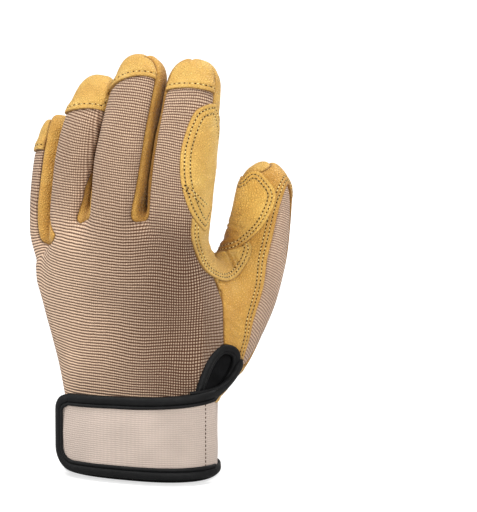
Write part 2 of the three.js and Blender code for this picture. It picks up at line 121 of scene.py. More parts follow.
# Outlines on a finger's surface: height along it, and degrees round it from the side towards the thumb
THUMB_WINDOW = [(142, 106), (139, 88), (133, 72), (124, 62), (115, 59), (105, 56), (88, 50), (74, 53), (65, 66),
    (62, 85), (65, 102), (71, 114), (77.4, 126), (89.7, 134), (102.7, 142), (113, 141), (125.5, 136), (134, 128),
    (140, 118)]
THUMB_PAD = [(141, 50), (145.7, 31), (145.2, 1), (139.9, -28), (135.8, -36), (129.2, -34), (117.7, -18), (110.7, -1),
    (103.6, 20), (101.1, 45), (104, 78), (112, 98), (125, 107), (137, 100), (143, 76)]
THUMB_SEAM = [(30, -14), (38, -16), (50, -31), (62, -31), (74.4, -27), (86, -17), (96, -6), (103, -7), (110, -8),
    (117.5, -14), (128.4, -21), (135.4, -25), (147, -31), (153, -34)]
THUMB_CROTCH = [(90, 235), (135, 235), (142, 228), (147.1, 181), (150.8, 154), (153, 130)]
INDEX_PALM_SIDE = [(120, 40), (126, 30), (131, -5), (136, -30), (142, -55), (150, -74), (158, -76), (168, -68),
    (176, -54), (180, -32), (184, -20), (190, 10)]
# Outlines in the view from the back: across, up
INDEX_PATCH = [(44.2, 188.5), (41.0, 186.6), (35.9, 185.7), (29.9, 182.7), (27.1, 178.2), (24.0, 169.5),
    (22.2, 162.0), (21.7, 151.2), (22.6, 143.6), (24.0, 138.0), (26.2, 131.7), (29.9, 125.3), (33.7, 120.9),
    (36.0, 118.6), (42, 119), (52, 130), (56, 150), (56, 175), (52, 187)]
SADDLE = [(25.0, 136.1), (27.2, 128.5), (26.7, 120.9), (28.3, 112.3), (32.1, 103.7), (37.5, 98.3), (44.0, 95.9),
    (49.4, 97.7), (53.7, 102.6), (56.7, 108.0), (57.8, 113.9), (54.5, 117.0), (47, 115.5), (41.3, 116), (38.5, 122),
    (36.4, 129.9), (33.3, 134.6), (29.9, 138.1)]
# Edges of the knit in the same view: up, across
LITTLE_EDGE = [(108, -43.0), (114.6, -46.8), (115.4, -49.0), (117.3, -50.8), (121.3, -52.0), (127.7, -52.6),
    (135.4, -52.5), (145.6, -51.4), (153.3, -50.4), (161.0, -49.4), (167.4, -48.2), (173.8, -47.2), (181.0, -45.6),
    (190, -43)]
RING_EDGE = [(108, -51.0), (114.6, -46.8), (115.4, -45.0), (117.3, -43.6), (121.3, -42.6), (128.7, -42.2),
    (150, -41.5)]
KNIT_EDGE = [(60, 43.9), (65.3, 43.8), (75.6, 43.6), (86.4, 43.1), (93, 41.9), (98.3, 38.2), (103.7, 32.1),
    (108, 29.9), (125, 27)]
# The tape beside the loop, in points of the picture
LOOP_BAND = [(189, 395.6), (197, 394.8), (206, 393), (215.5, 388.2), (223.5, 382), (230.5, 374.5), (236, 365.5),
    (238.5, 358)]
PICTURE = (139, 469, 1.95)  # where the origin lies in it, and its points to a millimetre
# Folds of the leather: their two ends in the view from the back, depth, half width and the strength of the shade
# painted in them
FOLDS = [
    (39.6, 113.2, 46.5, 119.6, 0.9, 0.7, 0.6), (39.8, 112.0, 49.0, 116.6, 1.0, 0.8, 0.6),
    (40.4, 110.8, 53.0, 114.2, 1.1, 0.8, 0.6), (39.6, 114.4, 43.6, 123.5, 0.7, 0.7, 0.45),
    (45.4, 110.8, 48.6, 102.0, 0.9, 0.8, 0.45), (47.6, 110.6, 50.6, 104.6, 0.6, 0.7, 0.4),
    (38.6, 109.5, 41.6, 100.0, 0.45, 1.0, 0.2), (36.6, 112.5, 32.6, 106.0, 0.35, 0.9, 0.2),
    (44.5, 126.5, 53.5, 123.4, 0.8, 0.6, 0.3), (44.0, 124.5, 50.9, 120.0, 0.8, 0.6, 0.3),
    (48.5, 129.5, 52.5, 130.0, 0.7, 0.6, 0.2),
    (45.5, 76.0, 50.5, 70.5, 0.4, 0.9, 0.0), (44.8, 70.5, 50.0, 65.5, 0.35, 0.8, 0.0),
    (46.5, 84.0, 52.0, 80.5, 0.3, 1.1, 0.0), (28.5, 158, 36, 150, 0.3, 1.2, 0.0), (27, 170, 40, 176, 0.25, 1.4, 0.0)]
CROTCH = (39.5, 112.5)  # the thumb's, in the view from the back
# Seams that cross on the palm: x, z
PALM_LINES = [[(-28.6, 99.6), (-16, 104.2), (-6, 107.9), (6, 113)],
    [(-26.9, 111.6), (-16.5, 104.4), (-0.1, 93.9), (13, 86)]]
# Folds of the palm: their two ends as x and z, depth and half width
PALM_FOLDS = [(2, 92, 17, 101, 0.4, 1.1), (-2, 84, 15, 92, 0.4, 1.2), (8, 104, 18, 113, 0.35, 1.0),
    (-30, 88, -18, 92, 0.3, 1.2), (-36, 80, -22, 83, 0.3, 1.3), (22, 60, 30, 68, 0.35, 1.2),
    (-10, 76, 4, 80, 0.25, 1.2)]
INDEX_LINE = [(23.4, 143.8), (27.4, 141.0), (31.4, 137.4), (34.8, 133.9)]  # in the view from the back


def unit(v):
    return v / np.maximum(np.linalg.norm(v, axis=-1, keepdims=True), 1e-12)


def smooth_step(low, high, v):
    t = np.clip((v - low) / (high - low), 0, 1)
    return t * t * (3 - 2 * t)


def catmull(points, shares):
    """Points at the given shares of a centripetal Catmull-Rom curve."""
    points = np.asarray(points, float)
    ends = np.vstack([2 * points[0] - points[1], points, 2 * points[-1] - points[-2]])
    place = np.clip(shares, 0, 1) * (len(points) - 1)
    i = np.minimum(place.astype(int), len(points) - 2)
    w = (place - i)[:, None]
    p0, p1, p2, p3 = (ends[i + k] for k in range(4))
    d0, d1, d2 = (np.maximum(np.linalg.norm(b - a, axis=1, keepdims=True), 1e-6) ** 0.5
                  for a, b in ((p0, p1), (p1, p2), (p2, p3)))
    t1 = ((p1 - p0) / d0 - (p2 - p0) / (d0 + d1) + (p2 - p1) / d1) * d1
    t2 = ((p2 - p1) / d1 - (p3 - p1) / (d1 + d2) + (p3 - p2) / d2) * d1
    return p1 + t1 * w + (3 * (p2 - p1) - 2 * t1 - t2) * w ** 2 + (2 * (p1 - p2) + t1 + t2) * w ** 3


def outline(points, count=12):
    """A smooth closed outline through a few flat points."""
    points = np.asarray(points, float)
    wrapped = np.vstack([points[-2:], points, points[:3]])
    shares = (2 + np.arange(len(points) * count) / count) / (len(wrapped) - 1)
    return catmull(wrapped, shares)


def evened(line, rounds, closed=False, keep=lambda v: v):
    """A line whose points are moved halfway to the mean of their neighbours, so many times."""
    line = line.copy()
    for _ in range(rounds):
        if closed:
            line = keep(0.5 * line + 0.25 * (np.roll(line, 1, 0) + np.roll(line, -1, 0)))
        else:
            line[1:-1] = keep(0.5 * line[1:-1] + 0.25 * (line[2:] + line[:-2]))
    return line


def run_along(line):
    """Length along a line to each of its points."""
    return np.concatenate([[0], np.cumsum(np.linalg.norm(np.diff(line, axis=0), axis=1))])


def first_of_each(keys, values):
    """The place of each key's smallest value."""
    order = np.lexsort((values, keys))
    return order[np.unique(keys[order], return_index=True)[1]]


def search_tree(points):
    tree = KDTree(len(points))
    for i, p in enumerate(points):
        tree.insert(p, i)
    tree.balance()
    return tree


def rounded(values, spread):
    """Values along a line, evened out over a spread of stations."""
    kernel = np.hanning(2 * spread + 1)
    padded = np.concatenate([np.full(spread, values[0]), values, np.full(spread, values[-1])])
    return np.convolve(padded, kernel / kernel.sum(), 'valid')


def superellipse(parts):
    """Distance to a superellipse or superellipsoid from each coordinate in half sizes and the half size."""
    n = SQUARENESS
    rho = np.maximum(sum(np.abs(v) ** n for v, _ in parts) ** (1 / n), 1e-3)
    slope = np.sqrt(sum((np.abs(v) ** (n - 1) / size) ** 2 for v, size in parts)) * rho ** (1 - n)
    return (rho - 1) / np.maximum(slope, 0.02)


class Digit:
    """A finger or the thumb: superellipse sections along a middle line, rounded at the tip."""

    ROOT = 16.0  # length over which the root sinks into the hand
    SPARE = 0.25  # share by which the middle line runs on past its two ends

    def __init__(self, facing, tip, rows):
        rows = np.array(rows, float)
        self.tip = tip
        last = len(rows) - 1
        mid = catmull(rows[:, :3], np.linspace(0, 1, 161))
        before, after, k = mid[0] - mid[1], mid[-1] - mid[-2], np.arange(40, 0, -1)[:, None]
        self.mid = mid = np.vstack([mid[0] + before * k, mid, mid[-1] + after * k[::-1]])
        self.share = np.linspace(-self.SPARE, 1 + self.SPARE, len(mid))
        self.head = unit(np.gradient(mid, axis=0))
        self.pace = np.linalg.norm(np.gradient(mid, axis=0), axis=1) / (self.share[1] - self.share[0])
        self.side = unit(np.cross(self.head, np.array(facing, float)))
        self.back = np.cross(self.side, self.head)
        self.width, self.depth = (rounded(np.interp(self.share, np.linspace(0, 1, last + 1), rows[:, c]), 9)
            for c in (3, 4))
        self.tip_share = tip / (np.linalg.norm(rows[-1, :3] - rows[-2, :3]) * last)
        grow = max(rows[:, 3:].max() + 10, 24)
        self.box = rows[:, :3].min(0) - grow, rows[:, :3].max(0) + grow

    def at(self, table, share):
        place = np.clip((share + self.SPARE) / (self.share[1] - self.share[0]), 0, len(self.share) - 1.001)
        i = place.astype(int)
        w = (place - i)[:, None] if table.ndim == 2 else place - i
        return table[i] * (1 - w) + table[i + 1] * w

    def local(self, p):
        """Share along the middle line, the two cross coordinates in half sizes, and the distance to the surface."""
        s = np.interp(p[:, 2], self.mid[:, 2], self.share)
        for _ in range(5):
            off = ((p - self.at(self.mid, s)) * self.at(self.head, s)).sum(1)
            s = np.clip(s + 0.9 * off / self.at(self.pace, s), -self.SPARE, 1 + self.SPARE)
        off = p - self.at(self.mid, s)
        w, d = self.at(self.width, s), self.at(self.depth, s)
        a, b = (off * self.at(self.side, s)).sum(1) / w, (off * self.at(self.back, s)).sum(1) / d
        beyond = (off * self.at(self.head, s)).sum(1) / self.tip
        u = np.maximum((s - 1 + self.tip_share) / self.tip_share + beyond * (s > 1.2), 0)
        sunk = np.maximum(1 - s * self.at(self.pace, s) / self.ROOT, 0)
        return s, a, b, superellipse(((a, w), (b, d), (u, self.tip))) + 6 * sunk ** 2

    def measure(self, p):
        """Height on the middle line, cross coordinates, distance, and length round from the back's middle."""
        s, a, b, f = self.local(p)
        round_ = self.at(self.mid[:, 0], s) + np.arctan2(a, b) * (self.at(self.width, s)
            + self.at(self.depth, s)) * 0.56
        return np.stack([self.at(self.mid[:, 2], s), a, b, f, round_], 1)


class Hand:
    """The palm and back between the cuff and the finger roots."""

    ROOF = 6.0  # length over which the top closes
    WIDEST = 1.15  # how far out the arch is followed, in half widths

    def __init__(self):
        rows = np.array(HAND, float)
        self.t = np.linspace(0, 1, 241)
        fine = np.stack([rounded(np.interp(self.t, np.linspace(0, 1, len(rows)), c), 10) for c in rows.T], 1)
        fine[0], fine[-1] = rows[0], rows[-1]
        self.rows, self.slope = fine, np.gradient(fine, axis=0) / (self.t[1] - self.t[0])

    def at(self, table, t):
        place = np.clip(t * (len(self.t) - 1), 0, len(self.t) - 1.001)
        i = place.astype(int)
        w = (place - i)[:, None]
        return table[i] * (1 - w) + table[i + 1] * w

    def local(self, p):
        """Share from the cuff, the two cross coordinates in half sizes, and the distance to the surface."""
        x, y, z = p.T
        t = np.interp(z, self.rows[:, 0], self.t)

        def level(q, a):
            return q[:, 0] + (q[:, 2] - q[:, 1]) / 2 * a + ((q[:, 2] + q[:, 1]) / 2 - q[:, 0]) * a * a
        for _ in range(7):
            r, g = self.at(self.rows, t), self.at(self.slope, t)
            a = np.clip((x - (r[:, 3] + r[:, 4]) / 2) / ((r[:, 4] - r[:, 3]) / 2), -self.WIDEST, self.WIDEST)
            t = np.clip(t + 0.85 * (z - level(r, a)) / np.maximum(level(g, a), 20), 0, 1)
        r = self.at(self.rows, t)
        half = (r[:, 4] - r[:, 3]) / 2
        a = (x - (r[:, 3] + r[:, 4]) / 2) / half
        c = np.clip(a, -self.WIDEST, self.WIDEST)
        b = (y - r[:, 5] - np.where(a < 0, r[:, 7], r[:, 8]) * c * c) / r[:, 6]
        u = np.maximum((z - level(np.repeat(self.rows[-1:], len(p), 0), c) + self.ROOF) / self.ROOF, 0)
        return t, a, b, superellipse(((a, half), (b, r[:, 6]), (u, self.ROOF)))

    def measure(self, p):
        """As for a digit, with b turned so that the back is positive."""
        t, a, b, f = self.local(p)
        r = self.at(self.rows, t)
        half = (r[:, 4] - r[:, 3]) / 2
        c = np.clip(a, -1.2, 1.2)
        round_ = (r[:, 3] + r[:, 4]) / 2 + half * c + np.sign(a) * r[:, 6] * np.maximum(0.55 + b, 0) * 0.9
        return np.stack([r[:, 0], a, -b, f, round_], 1)


def facing(roll):
    """The way that a finger's back looks, for its roll in degrees."""
    r = math.radians(roll)
    return -math.sin(r), -math.cos(r), 0


hand = Hand()
fingers = {name: Digit(facing(roll), tip, rows) for name, (roll, tip, _, _, rows) in FINGERS.items()}
thumb = Digit((0.99, 0.12, 0), *THUMB)


def smaller(a, b, k):
    """The smaller of two distances, with the corner between them filled over k."""
    h = np.maximum(k - np.abs(a - b), 0) / k
    return np.minimum(a, b) - h * h * k / 4


def field(p):
    """Distance to the joined form."""
    f = np.full(len(p), FAR)
    m = p[:, 2] < HAND_TOP
    f[m] = hand.local(p[m])[3]
    for digit in (*fingers.values(), thumb):
        g = np.full(len(p), FAR)
        low, high = digit.box
        m = ((p > low) & (p < high)).all(1)
        g[m] = digit.local(p[m])[3]
        k = 5 + 21 * smooth_step(55, 95, p[:, 2]) if digit is thumb else 1.5 + 5.5 * smooth_step(147, 120, p[:, 2])
        f = smaller(f, g, k)
    return f


class Grid:
    """The form's distances on a fine grid, with the finger roots evened out."""

    LOW, HIGH, STEP, SPREAD = (-70.0, -30.0, 33.0), (68.0, 76.0, 220.0), 0.9, 5

    def __init__(self):
        low, high, step = np.array(self.LOW), np.array(self.HIGH), self.STEP
        n = np.ceil((high - low) / (3 * step)).astype(int) * 3 + 1
        axes = [low[c] + step * np.arange(n[c]) for c in range(3)]
        g = np.stack(np.meshgrid(*[ax[::3] for ax in axes], indexing='ij'), -1)
        fine = field(g.reshape(-1, 3)).reshape(g.shape[:3])
        calm = np.clip(hand.local(g.reshape(-1, 3))[3], -FAR, FAR).reshape(g.shape[:3])
        calm = (smooth_step(11, 4, calm) * smooth_step(80, 98, g[..., 2]) * smooth_step(142, 126, g[..., 2])
                * smooth_step(62, 50, g[..., 0]))
        fine, calm = (self.finer(v) for v in (fine, calm))
        i, j, k = np.nonzero(np.abs(fine) < 3.2 * step)
        pts = np.stack([axes[0][i], axes[1][j], axes[2][k]], 1)
        fine[i, j, k] = np.concatenate([field(q) for q in np.array_split(pts, max(1, len(pts) // 200000))])
        kernel = np.exp(-0.5 * (np.arange(-12, 13) / self.SPREAD) ** 2)
        even = np.clip(fine, -16, 16)
        for c in range(3):
            a = np.moveaxis(even, c, 0)
            padded = np.concatenate([np.repeat(a[:1], 12, 0), a, np.repeat(a[-1:], 12, 0)])
            out = np.zeros_like(a)
            for q, share in enumerate(kernel / kernel.sum()):
                out += share * padded[q:q + len(a)]
            even = np.moveaxis(out, 0, c)
        self.values = np.ascontiguousarray(fine * (1 - calm) + (even - 0.5) * calm)
        self.low = low

    @staticmethod
    def finer(v):
        """The same values on a grid of a third of the step."""
        for c in range(3):
            a = np.moveaxis(v, c, 0)
            up = np.empty((3 * (a.shape[0] - 1) + 1,) + a.shape[1:])
            for k in range(3):
                up[k:-1:3] = a[:-1] * (1 - k / 3) + a[1:] * (k / 3)
            up[-1] = a[-1]
            v = np.moveaxis(up, 0, c)
        return np.ascontiguousarray(v)

    def at(self, p):
        """Distance at points between the grid's own."""
        v = self.values
        q = np.clip((p - self.low) / self.STEP, 0, np.array(v.shape) - 1.001)
        i = q.astype(int)
        w = q - i
        flat = (i[:, 0] * v.shape[1] + i[:, 1]) * v.shape[2] + i[:, 2]
        v, dx, dy = v.ravel(), v.shape[1] * v.shape[2], v.shape[2]
        out = 0
        for a in (0, 1):
            for b in (0, 1):
                for c in (0, 1):
                    share = (w[:, 0] if a else 1 - w[:, 0]) * (w[:, 1] if b else 1 - w[:, 1]) * (w[:, 2] if c
                        else 1 - w[:, 2])
                    out = out + share * v[flat + a * dx + b * dy + c]
        return out

    def slope(self, p, e=0.8):
        """The way in which the distance grows, taken over e."""
        offsets = np.array([(1, 1, 1), (1, -1, -1), (-1, 1, -1), (-1, -1, 1)], float) * e
        return sum(self.at(p + d)[:, None] * d for d in offsets) / (4 * e * e)

    def surface(self):
        """Triangles of the whole form, one point to each grid cell that it crosses, evened out along it."""
        fine, low, step = self.values, self.low, self.STEP
        inside = fine < 0
        corners = [(x, y, z) for x in (0, 1) for y in (0, 1) for z in (0, 1)]
        count = sum(inside[x:inside.shape[0] - 1 + x, y:inside.shape[1] - 1 + y, z:inside.shape[2] - 1 + z]
                    .astype(np.int8) for x, y, z in corners)
        cells = np.stack(np.nonzero((count > 0) & (count < 8)), 1)
        number = np.full(count.shape, -1, np.int64)
        number[tuple(cells.T)] = np.arange(len(cells))
        total, hits = np.zeros((len(cells), 3)), np.zeros(len(cells))
        for q in corners:
            for c in range(3):
                if q[c]:
                    continue
                r = list(q)
                r[c] = 1
                v0, v1 = fine[tuple((cells + q).T)], fine[tuple((cells + r).T)]
                m = (v0 < 0) != (v1 < 0)
                pos = np.tile(np.array(q, float), (len(cells), 1))
                pos[:, c] += np.where(m, v0 / np.where(m, v0 - v1, 1), 0)
                total += pos * m[:, None]
                hits += m
        verts = low + step * (cells + total / hits[:, None])
        quads = []
        for c in range(3):
            u, v = (c + 1) % 3, (c + 2) % 3
            a = np.moveaxis(inside, c, 0)
            found = np.stack(np.nonzero(a[:-1] != a[1:]), 1)
            base = np.zeros((len(found), 3), int)
            base[:, [c] + [ax for ax in range(3) if ax != c]] = found
            base = base[(base[:, u] > 0) & (base[:, v] > 0) & (base[:, u] < inside.shape[u] - 1)
                & (base[:, v] < inside.shape[v] - 1)]
            e = np.eye(3, dtype=int)
            ids = np.stack([number[tuple(r.T)] for r in (base - e[u] - e[v], base - e[v], base, base - e[u])], 1)
            out = ~inside[tuple(base.T)]
            ids[out] = ids[out][:, ::-1]
            quads.append(ids)
        quads = np.concatenate(quads)
        d1, d2 = (np.linalg.norm(verts[quads[:, a]] - verts[quads[:, b]], axis=1) for a, b in ((0, 2), (1, 3)))
        s = d1 <= d2
        tris = np.concatenate([quads[s][:, [0, 1, 2]], quads[s][:, [0, 2, 3]],
                               quads[~s][:, [0, 1, 3]], quads[~s][:, [1, 2, 3]]])
        mean = neighbour_mean(tris, len(verts))
        for _ in range(4):
            g = self.slope(verts)
            move, nrm = mean(verts) - verts, unit(g)
            verts = verts + 0.6 * (move - (move * nrm).sum(1, keepdims=True) * nrm)
            verts = verts - g * np.clip(self.at(verts) / np.maximum((g * g).sum(1), 0.1), -1, 1)[:, None]
        for _ in range(3):
            verts = verts + 0.5 * (mean(verts) - verts)
            verts = verts - 0.5 * (mean(verts) - verts)
        return verts, tris


# Nets: open meshes of triangles that are cut into panels

COLUMNS = {name: k * 5 for k, name in enumerate((*FINGERS, 'thumb', 'hand'))}
HEIGHT, ACROSS, BACK, AWAY, ROUND = range(5)


def edges_of(tris):
    """Each edge once, the edges of each triangle, and how many triangles an edge has."""
    ends = np.sort(tris[:, [0, 1, 1, 2, 2, 0]].reshape(-1, 2), 1)
    size = int(tris.max()) + 1
    codes, place, count = np.unique(ends[:, 0].astype(np.int64) * size + ends[:, 1], return_inverse=True,
        return_counts=True)
    return np.stack([codes // size, codes % size], 1), place.reshape(-1, 3), count


def both_ways(tris):
    """The two ends of each edge, once in either order."""
    pairs = edges_of(tris)[0]
    return pairs.T.ravel(), pairs[:, ::-1].T.ravel()


def neighbour_mean(tris, count):
    """A function that gives the mean of each point's neighbours."""
    a, b = both_ways(tris)
    n = np.maximum(np.bincount(a, minlength=count), 1)[:, None]

    def mean(v):
        v = v.reshape(count, -1)
        return np.stack([np.bincount(a, v[b, c], count) for c in range(v.shape[1])], 1) / n
    return mean


class Net:
    """Points, triangles and columns of measures at the points."""

    def __init__(self, points, tris, marks):
        self.points, self.tris, self.marks = points, tris, marks

    def get(self, who, what):
        """One measure of one part of the form, at each point."""
        return self.marks[:, COLUMNS[who] + what]

    def part(self, keep):
        """The triangles that are kept, with only their own points."""
        tris = self.tris[keep]
        used = np.unique(tris)
        place = np.zeros(len(self.points), int)
        place[used] = np.arange(len(used))
        return Net(self.points[used], place[tris], self.marks[used])

    def cut(self, g, snap=0.25):
        """Splits the triangles along the line where g is nought, and gives g at the points."""
        g = g.copy()
        active = (g[self.tris].min(1) < 0) & (g[self.tris].max(1) > 0)
        if not active.any():
            return self, g
        pairs, _, count = edges_of(self.tris)
        rim = np.zeros(len(g), bool)
        rim[pairs[count == 1]] = True
        P, M = self.points.copy(), self.marks.copy()
        a, b = pairs.T
        hit = g[a] * g[b] < 0
        a, b, on_rim = a[hit], b[hit], (count == 1)[hit]
        w = g[a] / (g[a] - g[b])
        point, other, share = np.concatenate([a, b]), np.concatenate([b, a]), np.concatenate([w, 1 - w])
        fits = (share < snap) & (~rim[point] | np.tile(on_rim, 2))
        point, other, share = point[fits], other[fits], share[fits]
        first = first_of_each(point, share)
        point, other, share = point[first], other[first], share[first, None]
        P[point] += share * (self.points[other] - self.points[point])
        M[point] += share * (self.marks[other] - self.marks[point])
        g[point] = 0
        active = (g[self.tris].min(1) < 0) & (g[self.tris].max(1) > 0)
        rest, tris = self.tris[~active], self.tris[active]
        if not len(tris):
            return Net(P, rest, M), g
        pairs, sides, _ = edges_of(tris)
        a, b = pairs.T
        hit = g[a] * g[b] < 0
        w = (g[a] / np.where(hit, g[a] - g[b], 1))[hit, None]
        number = np.full(len(pairs), -1)
        number[hit] = len(P) + np.arange(hit.sum())
        P = np.concatenate([P, P[a[hit]] * (1 - w) + P[b[hit]] * w])
        M = np.concatenate([M, M[a[hit]] * (1 - w) + M[b[hit]] * w])
        g = np.concatenate([g, np.zeros(hit.sum())])
        mids = number[sides]
        crossed = mids >= 0
        one, two = crossed.sum(1) == 1, crossed.sum(1) == 2
        turn = np.zeros(len(tris), int)
        turn[one] = crossed[one].argmax(1)
        turn[two] = ((~crossed[two]).argmax(1) + 2) % 3
        order = (turn[:, None] + np.arange(3)) % 3
        tris, mids = np.take_along_axis(tris, order, 1), np.take_along_axis(mids, order, 1)
        v, m = tris[one], mids[one]
        made = [rest, np.stack([v[:, 0], m[:, 0], v[:, 2]], 1), np.stack([m[:, 0], v[:, 1], v[:, 2]], 1)]
        v, m = tris[two], mids[two]
        lone, right, left = v[:, 0], v[:, 1], v[:, 2]
        near, far = m[:, 0], m[:, 2]
        made += [np.stack([lone, near, far], 1), np.stack([near, right, left], 1), np.stack([near, left, far], 1)]
        return Net(P, np.concatenate(made), M), g

    def carve(self, g):
        """The part where g is below nought, and the rest."""
        net, g = self.cut(g)
        inside = g[net.tris].sum(1) < 0
        return net.part(inside), net.part(~inside)

    def rim(self):
        """Directed border edges."""
        ends = self.tris[:, [0, 1, 1, 2, 2, 0]].reshape(-1, 2)
        size = len(self.points) + 1
        codes, back = ends[:, 0] * size + ends[:, 1], ends[:, 1] * size + ends[:, 0]
        return ends[~np.isin(codes, back)]

    def from_rim(self, chosen=None, rounds=12):
        """Distance to the nearest border edge, found along the net, and which edge that is."""
        rim = self.rim() if chosen is None else chosen
        n = len(self.points)
        best, near = np.full(n, NO_EDGE), np.full(n, -1)
        if not len(rim):
            return best, near
        best[rim], near[rim[:, 0]], near[rim[:, 1]] = 0, np.arange(len(rim)), np.arange(len(rim))
        start, run = self.points[rim[:, 0]], self.points[rim[:, 1]] - self.points[rim[:, 0]]
        length = np.maximum((run * run).sum(1), 1e-9)
        ends, others = both_ways(self.tris)
        for _ in range(rounds):
            fresh = near[others] >= 0
            a, e = ends[fresh], near[others[fresh]]
            off = self.points[a] - start[e]
            t = np.clip((off * run[e]).sum(1) / length[e], 0, 1)[:, None]
            d = np.linalg.norm(off - t * run[e], axis=1)
            better = d < best[a] - 1e-6
            if not better.any():
                break
            a, e, d = a[better], e[better], d[better]
            first = first_of_each(a, d)
            best[a[first]], near[a[first]] = d[first], e[first]
        return best, near


def line_on(net, g, keep=None):
    """Chains of points where g is nought on a net, each with its positions and marks, and whether it is closed."""
    tris = net.tris
    active = (g[tris].min(1) < 0) & (g[tris].max(1) >= 0)
    if keep is not None:
        active &= keep[tris].all(1)
    tris = tris[active]
    if not len(tris):
        return []
    pairs, sides, _ = edges_of(tris)
    a, b = pairs.T
    hit = (g[a] < 0) != (g[b] < 0)
    w = g[a] / np.where(hit, g[a] - g[b], 1)
    links = {}
    for row in sides:
        ends = [int(e) for e in row if hit[e]]
        if len(ends) == 2:
            links.setdefault(ends[0], []).append(ends[1])
            links.setdefault(ends[1], []).append(ends[0])
    chains, seen = [], set()
    for start in sorted(links, key=lambda e: len(links[e])):
        if start in seen:
            continue
        chain = [start]
        seen.add(start)
        while True:
            step = [e for e in links[chain[-1]] if e not in seen]
            if not step:
                break
            chain.append(step[0])
            seen.add(step[0])
        closed = len(chain) > 3 and chain[0] in links[chain[-1]]
        chains.append((np.array(chain + chain[:1] if closed else chain), closed))
    out = []
    for chain, closed in chains:
        share = w[chain][:, None]
        both = np.concatenate([net.points, net.marks], 1)
        out.append((both[a[chain]] * (1 - share) + both[b[chain]] * share, closed))
    return out


# Meshes

def linked(name, data):
    """A new object in the scene."""
    made = bpy.data.objects.new(name, data)
    bpy.context.scene.collection.objects.link(made)
    return made


def add_mesh(name, points, faces, finish, attributes=None, uv=None, sharp=35):
    """A mesh object from points in millimetres."""
    mesh = bpy.data.meshes.new(name)
    mesh.vertices.add(len(points))
    mesh.vertices.foreach_set('co', (points * MM).astype(np.float32).ravel())
    mesh.loops.add(faces.size)
    mesh.loops.foreach_set('vertex_index', faces.astype(np.int32).ravel())
    mesh.polygons.add(len(faces))
    mesh.polygons.foreach_set('loop_start', np.arange(0, faces.size, faces.shape[1], dtype=np.int32))
    mesh.update(calc_edges=True)
    mesh.validate()
    for key, values in (attributes or {}).items():
        mesh.attributes.new(key, 'FLOAT', 'POINT').data.foreach_set('value', values.astype(np.float32))
    if uv is not None:
        corner = np.empty(len(mesh.loops), np.int32)
        mesh.loops.foreach_get('vertex_index', corner)
        mesh.uv_layers.new(name='weave').data.foreach_set('uv', uv.astype(np.float32)[corner].ravel())
    mesh.shade_smooth()
    mesh.set_sharp_from_angle(angle=math.radians(sharp))
    mesh.materials.append(finish)
    piece = linked(name, mesh)
    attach(piece, 'root')
    return piece


def shell_faces(net):
    """Faces of a closed shell from a net: its outer side, its inner side and the wall along its border."""
    n = len(net.points)
    a, b = net.rim().T
    return np.concatenate([net.tris, net.tris[:, ::-1] + n,
                           np.stack([b, a, a + n], 1), np.stack([b, a + n, b + n], 1)])


def add_shell(node, net, outer, inner, finish, attributes=None, uv=None):
    """A closed piece with a net's faces on its outer and inner side, which takes a node's place."""
    twice = {key: np.tile(values, 2) for key, values in (attributes or {}).items()}
    piece = add_mesh('new_' + node, np.concatenate([outer, inner]), shell_faces(net), finish, twice,
                     None if uv is None else np.tile(uv, (2, 1)))
    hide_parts(node)


def grid_faces(rows, columns, round_rows, round_columns):
    """Triangles between the points of a grid, which may close up either way."""
    i, j = np.meshgrid(np.arange(rows if round_rows else rows - 1),
        np.arange(columns if round_columns else columns - 1), indexing='ij')
    i, j = i.ravel(), j.ravel()
    at = lambda k, m: (k % rows) * columns + m % columns
    a, b, c, d = at(i, j), at(i + 1, j), at(i + 1, j + 1), at(i, j + 1)
    return np.concatenate([np.stack([a, b, c], 1), np.stack([a, c, d], 1)])


class Made:
    """What later operators need from earlier ones."""
    grid = tab = strap = None
    panels, dressed, materials = {}, {}, {}


def smooth_minimum(parts, k):
    """The smallest of several distances, with the corners between them filled over k."""
    out = parts[0]
    for p in parts[1:]:
        out = smaller(out, p, k)
    return out


def blended(net, what, who=(*FINGERS, 'hand'), spread=2.0):
    """A measure mixed between the parts of the form by how near their surfaces are."""
    away = np.stack([net.get(w, AWAY) for w in who])
    share = np.exp(-(away - away.min(0)) / spread)
    return (share * np.stack([net.get(w, what) for w in who])).sum(0) / share.sum(0)


def flat_distance(p, loop):
    """Signed distance of flat points to a closed outline, below nought inside."""
    a, b = loop, np.roll(loop, -1, 0)
    best, wind = np.full(len(p), 1e9), np.zeros(len(p), bool)
    for (x0, y0), (x1, y1) in zip(a, b):
        dx, dy = x1 - x0, y1 - y0
        t = np.clip(((p[:, 0] - x0) * dx + (p[:, 1] - y0) * dy) / (dx * dx + dy * dy), 0, 1)
        best = np.minimum(best, (p[:, 0] - x0 - t * dx) ** 2 + (p[:, 1] - y0 - t * dy) ** 2)
        if y0 != y1:
            wind ^= ((y0 > p[:, 1]) != (y1 > p[:, 1])) & (p[:, 0] < (x1 - x0) * (p[:, 1] - y0) / (y1 - y0) + x0)
    return np.where(wind, -1, 1) * np.sqrt(best)


def slit_distance(p):
    """Distance to the slit's outline, seen along the slit's own direction."""
    along = np.array([math.cos(SLIT_TURN), math.sin(SLIT_TURN)])
    flat = np.stack([-p[:, 0] * along[1] + p[:, 1] * along[0], p[:, 2]], 1)
    return np.where(p[:, 0] * along[0] + p[:, 1] * along[1] > 20, flat_distance(flat, outline(SLIT)), 50)


def knot_line(rows, z, column):
    """A column of a few rows, smoothly between them, where their first column is z."""
    fine = catmull(rows, np.linspace(0, 1, 200))
    return np.interp(z, fine[:, 0], fine[:, column])


# Panels

def seen(p):
    """Points as they lie in the view from the back: across and up."""
    return np.stack([p @ RIGHT, p @ UP], 1)


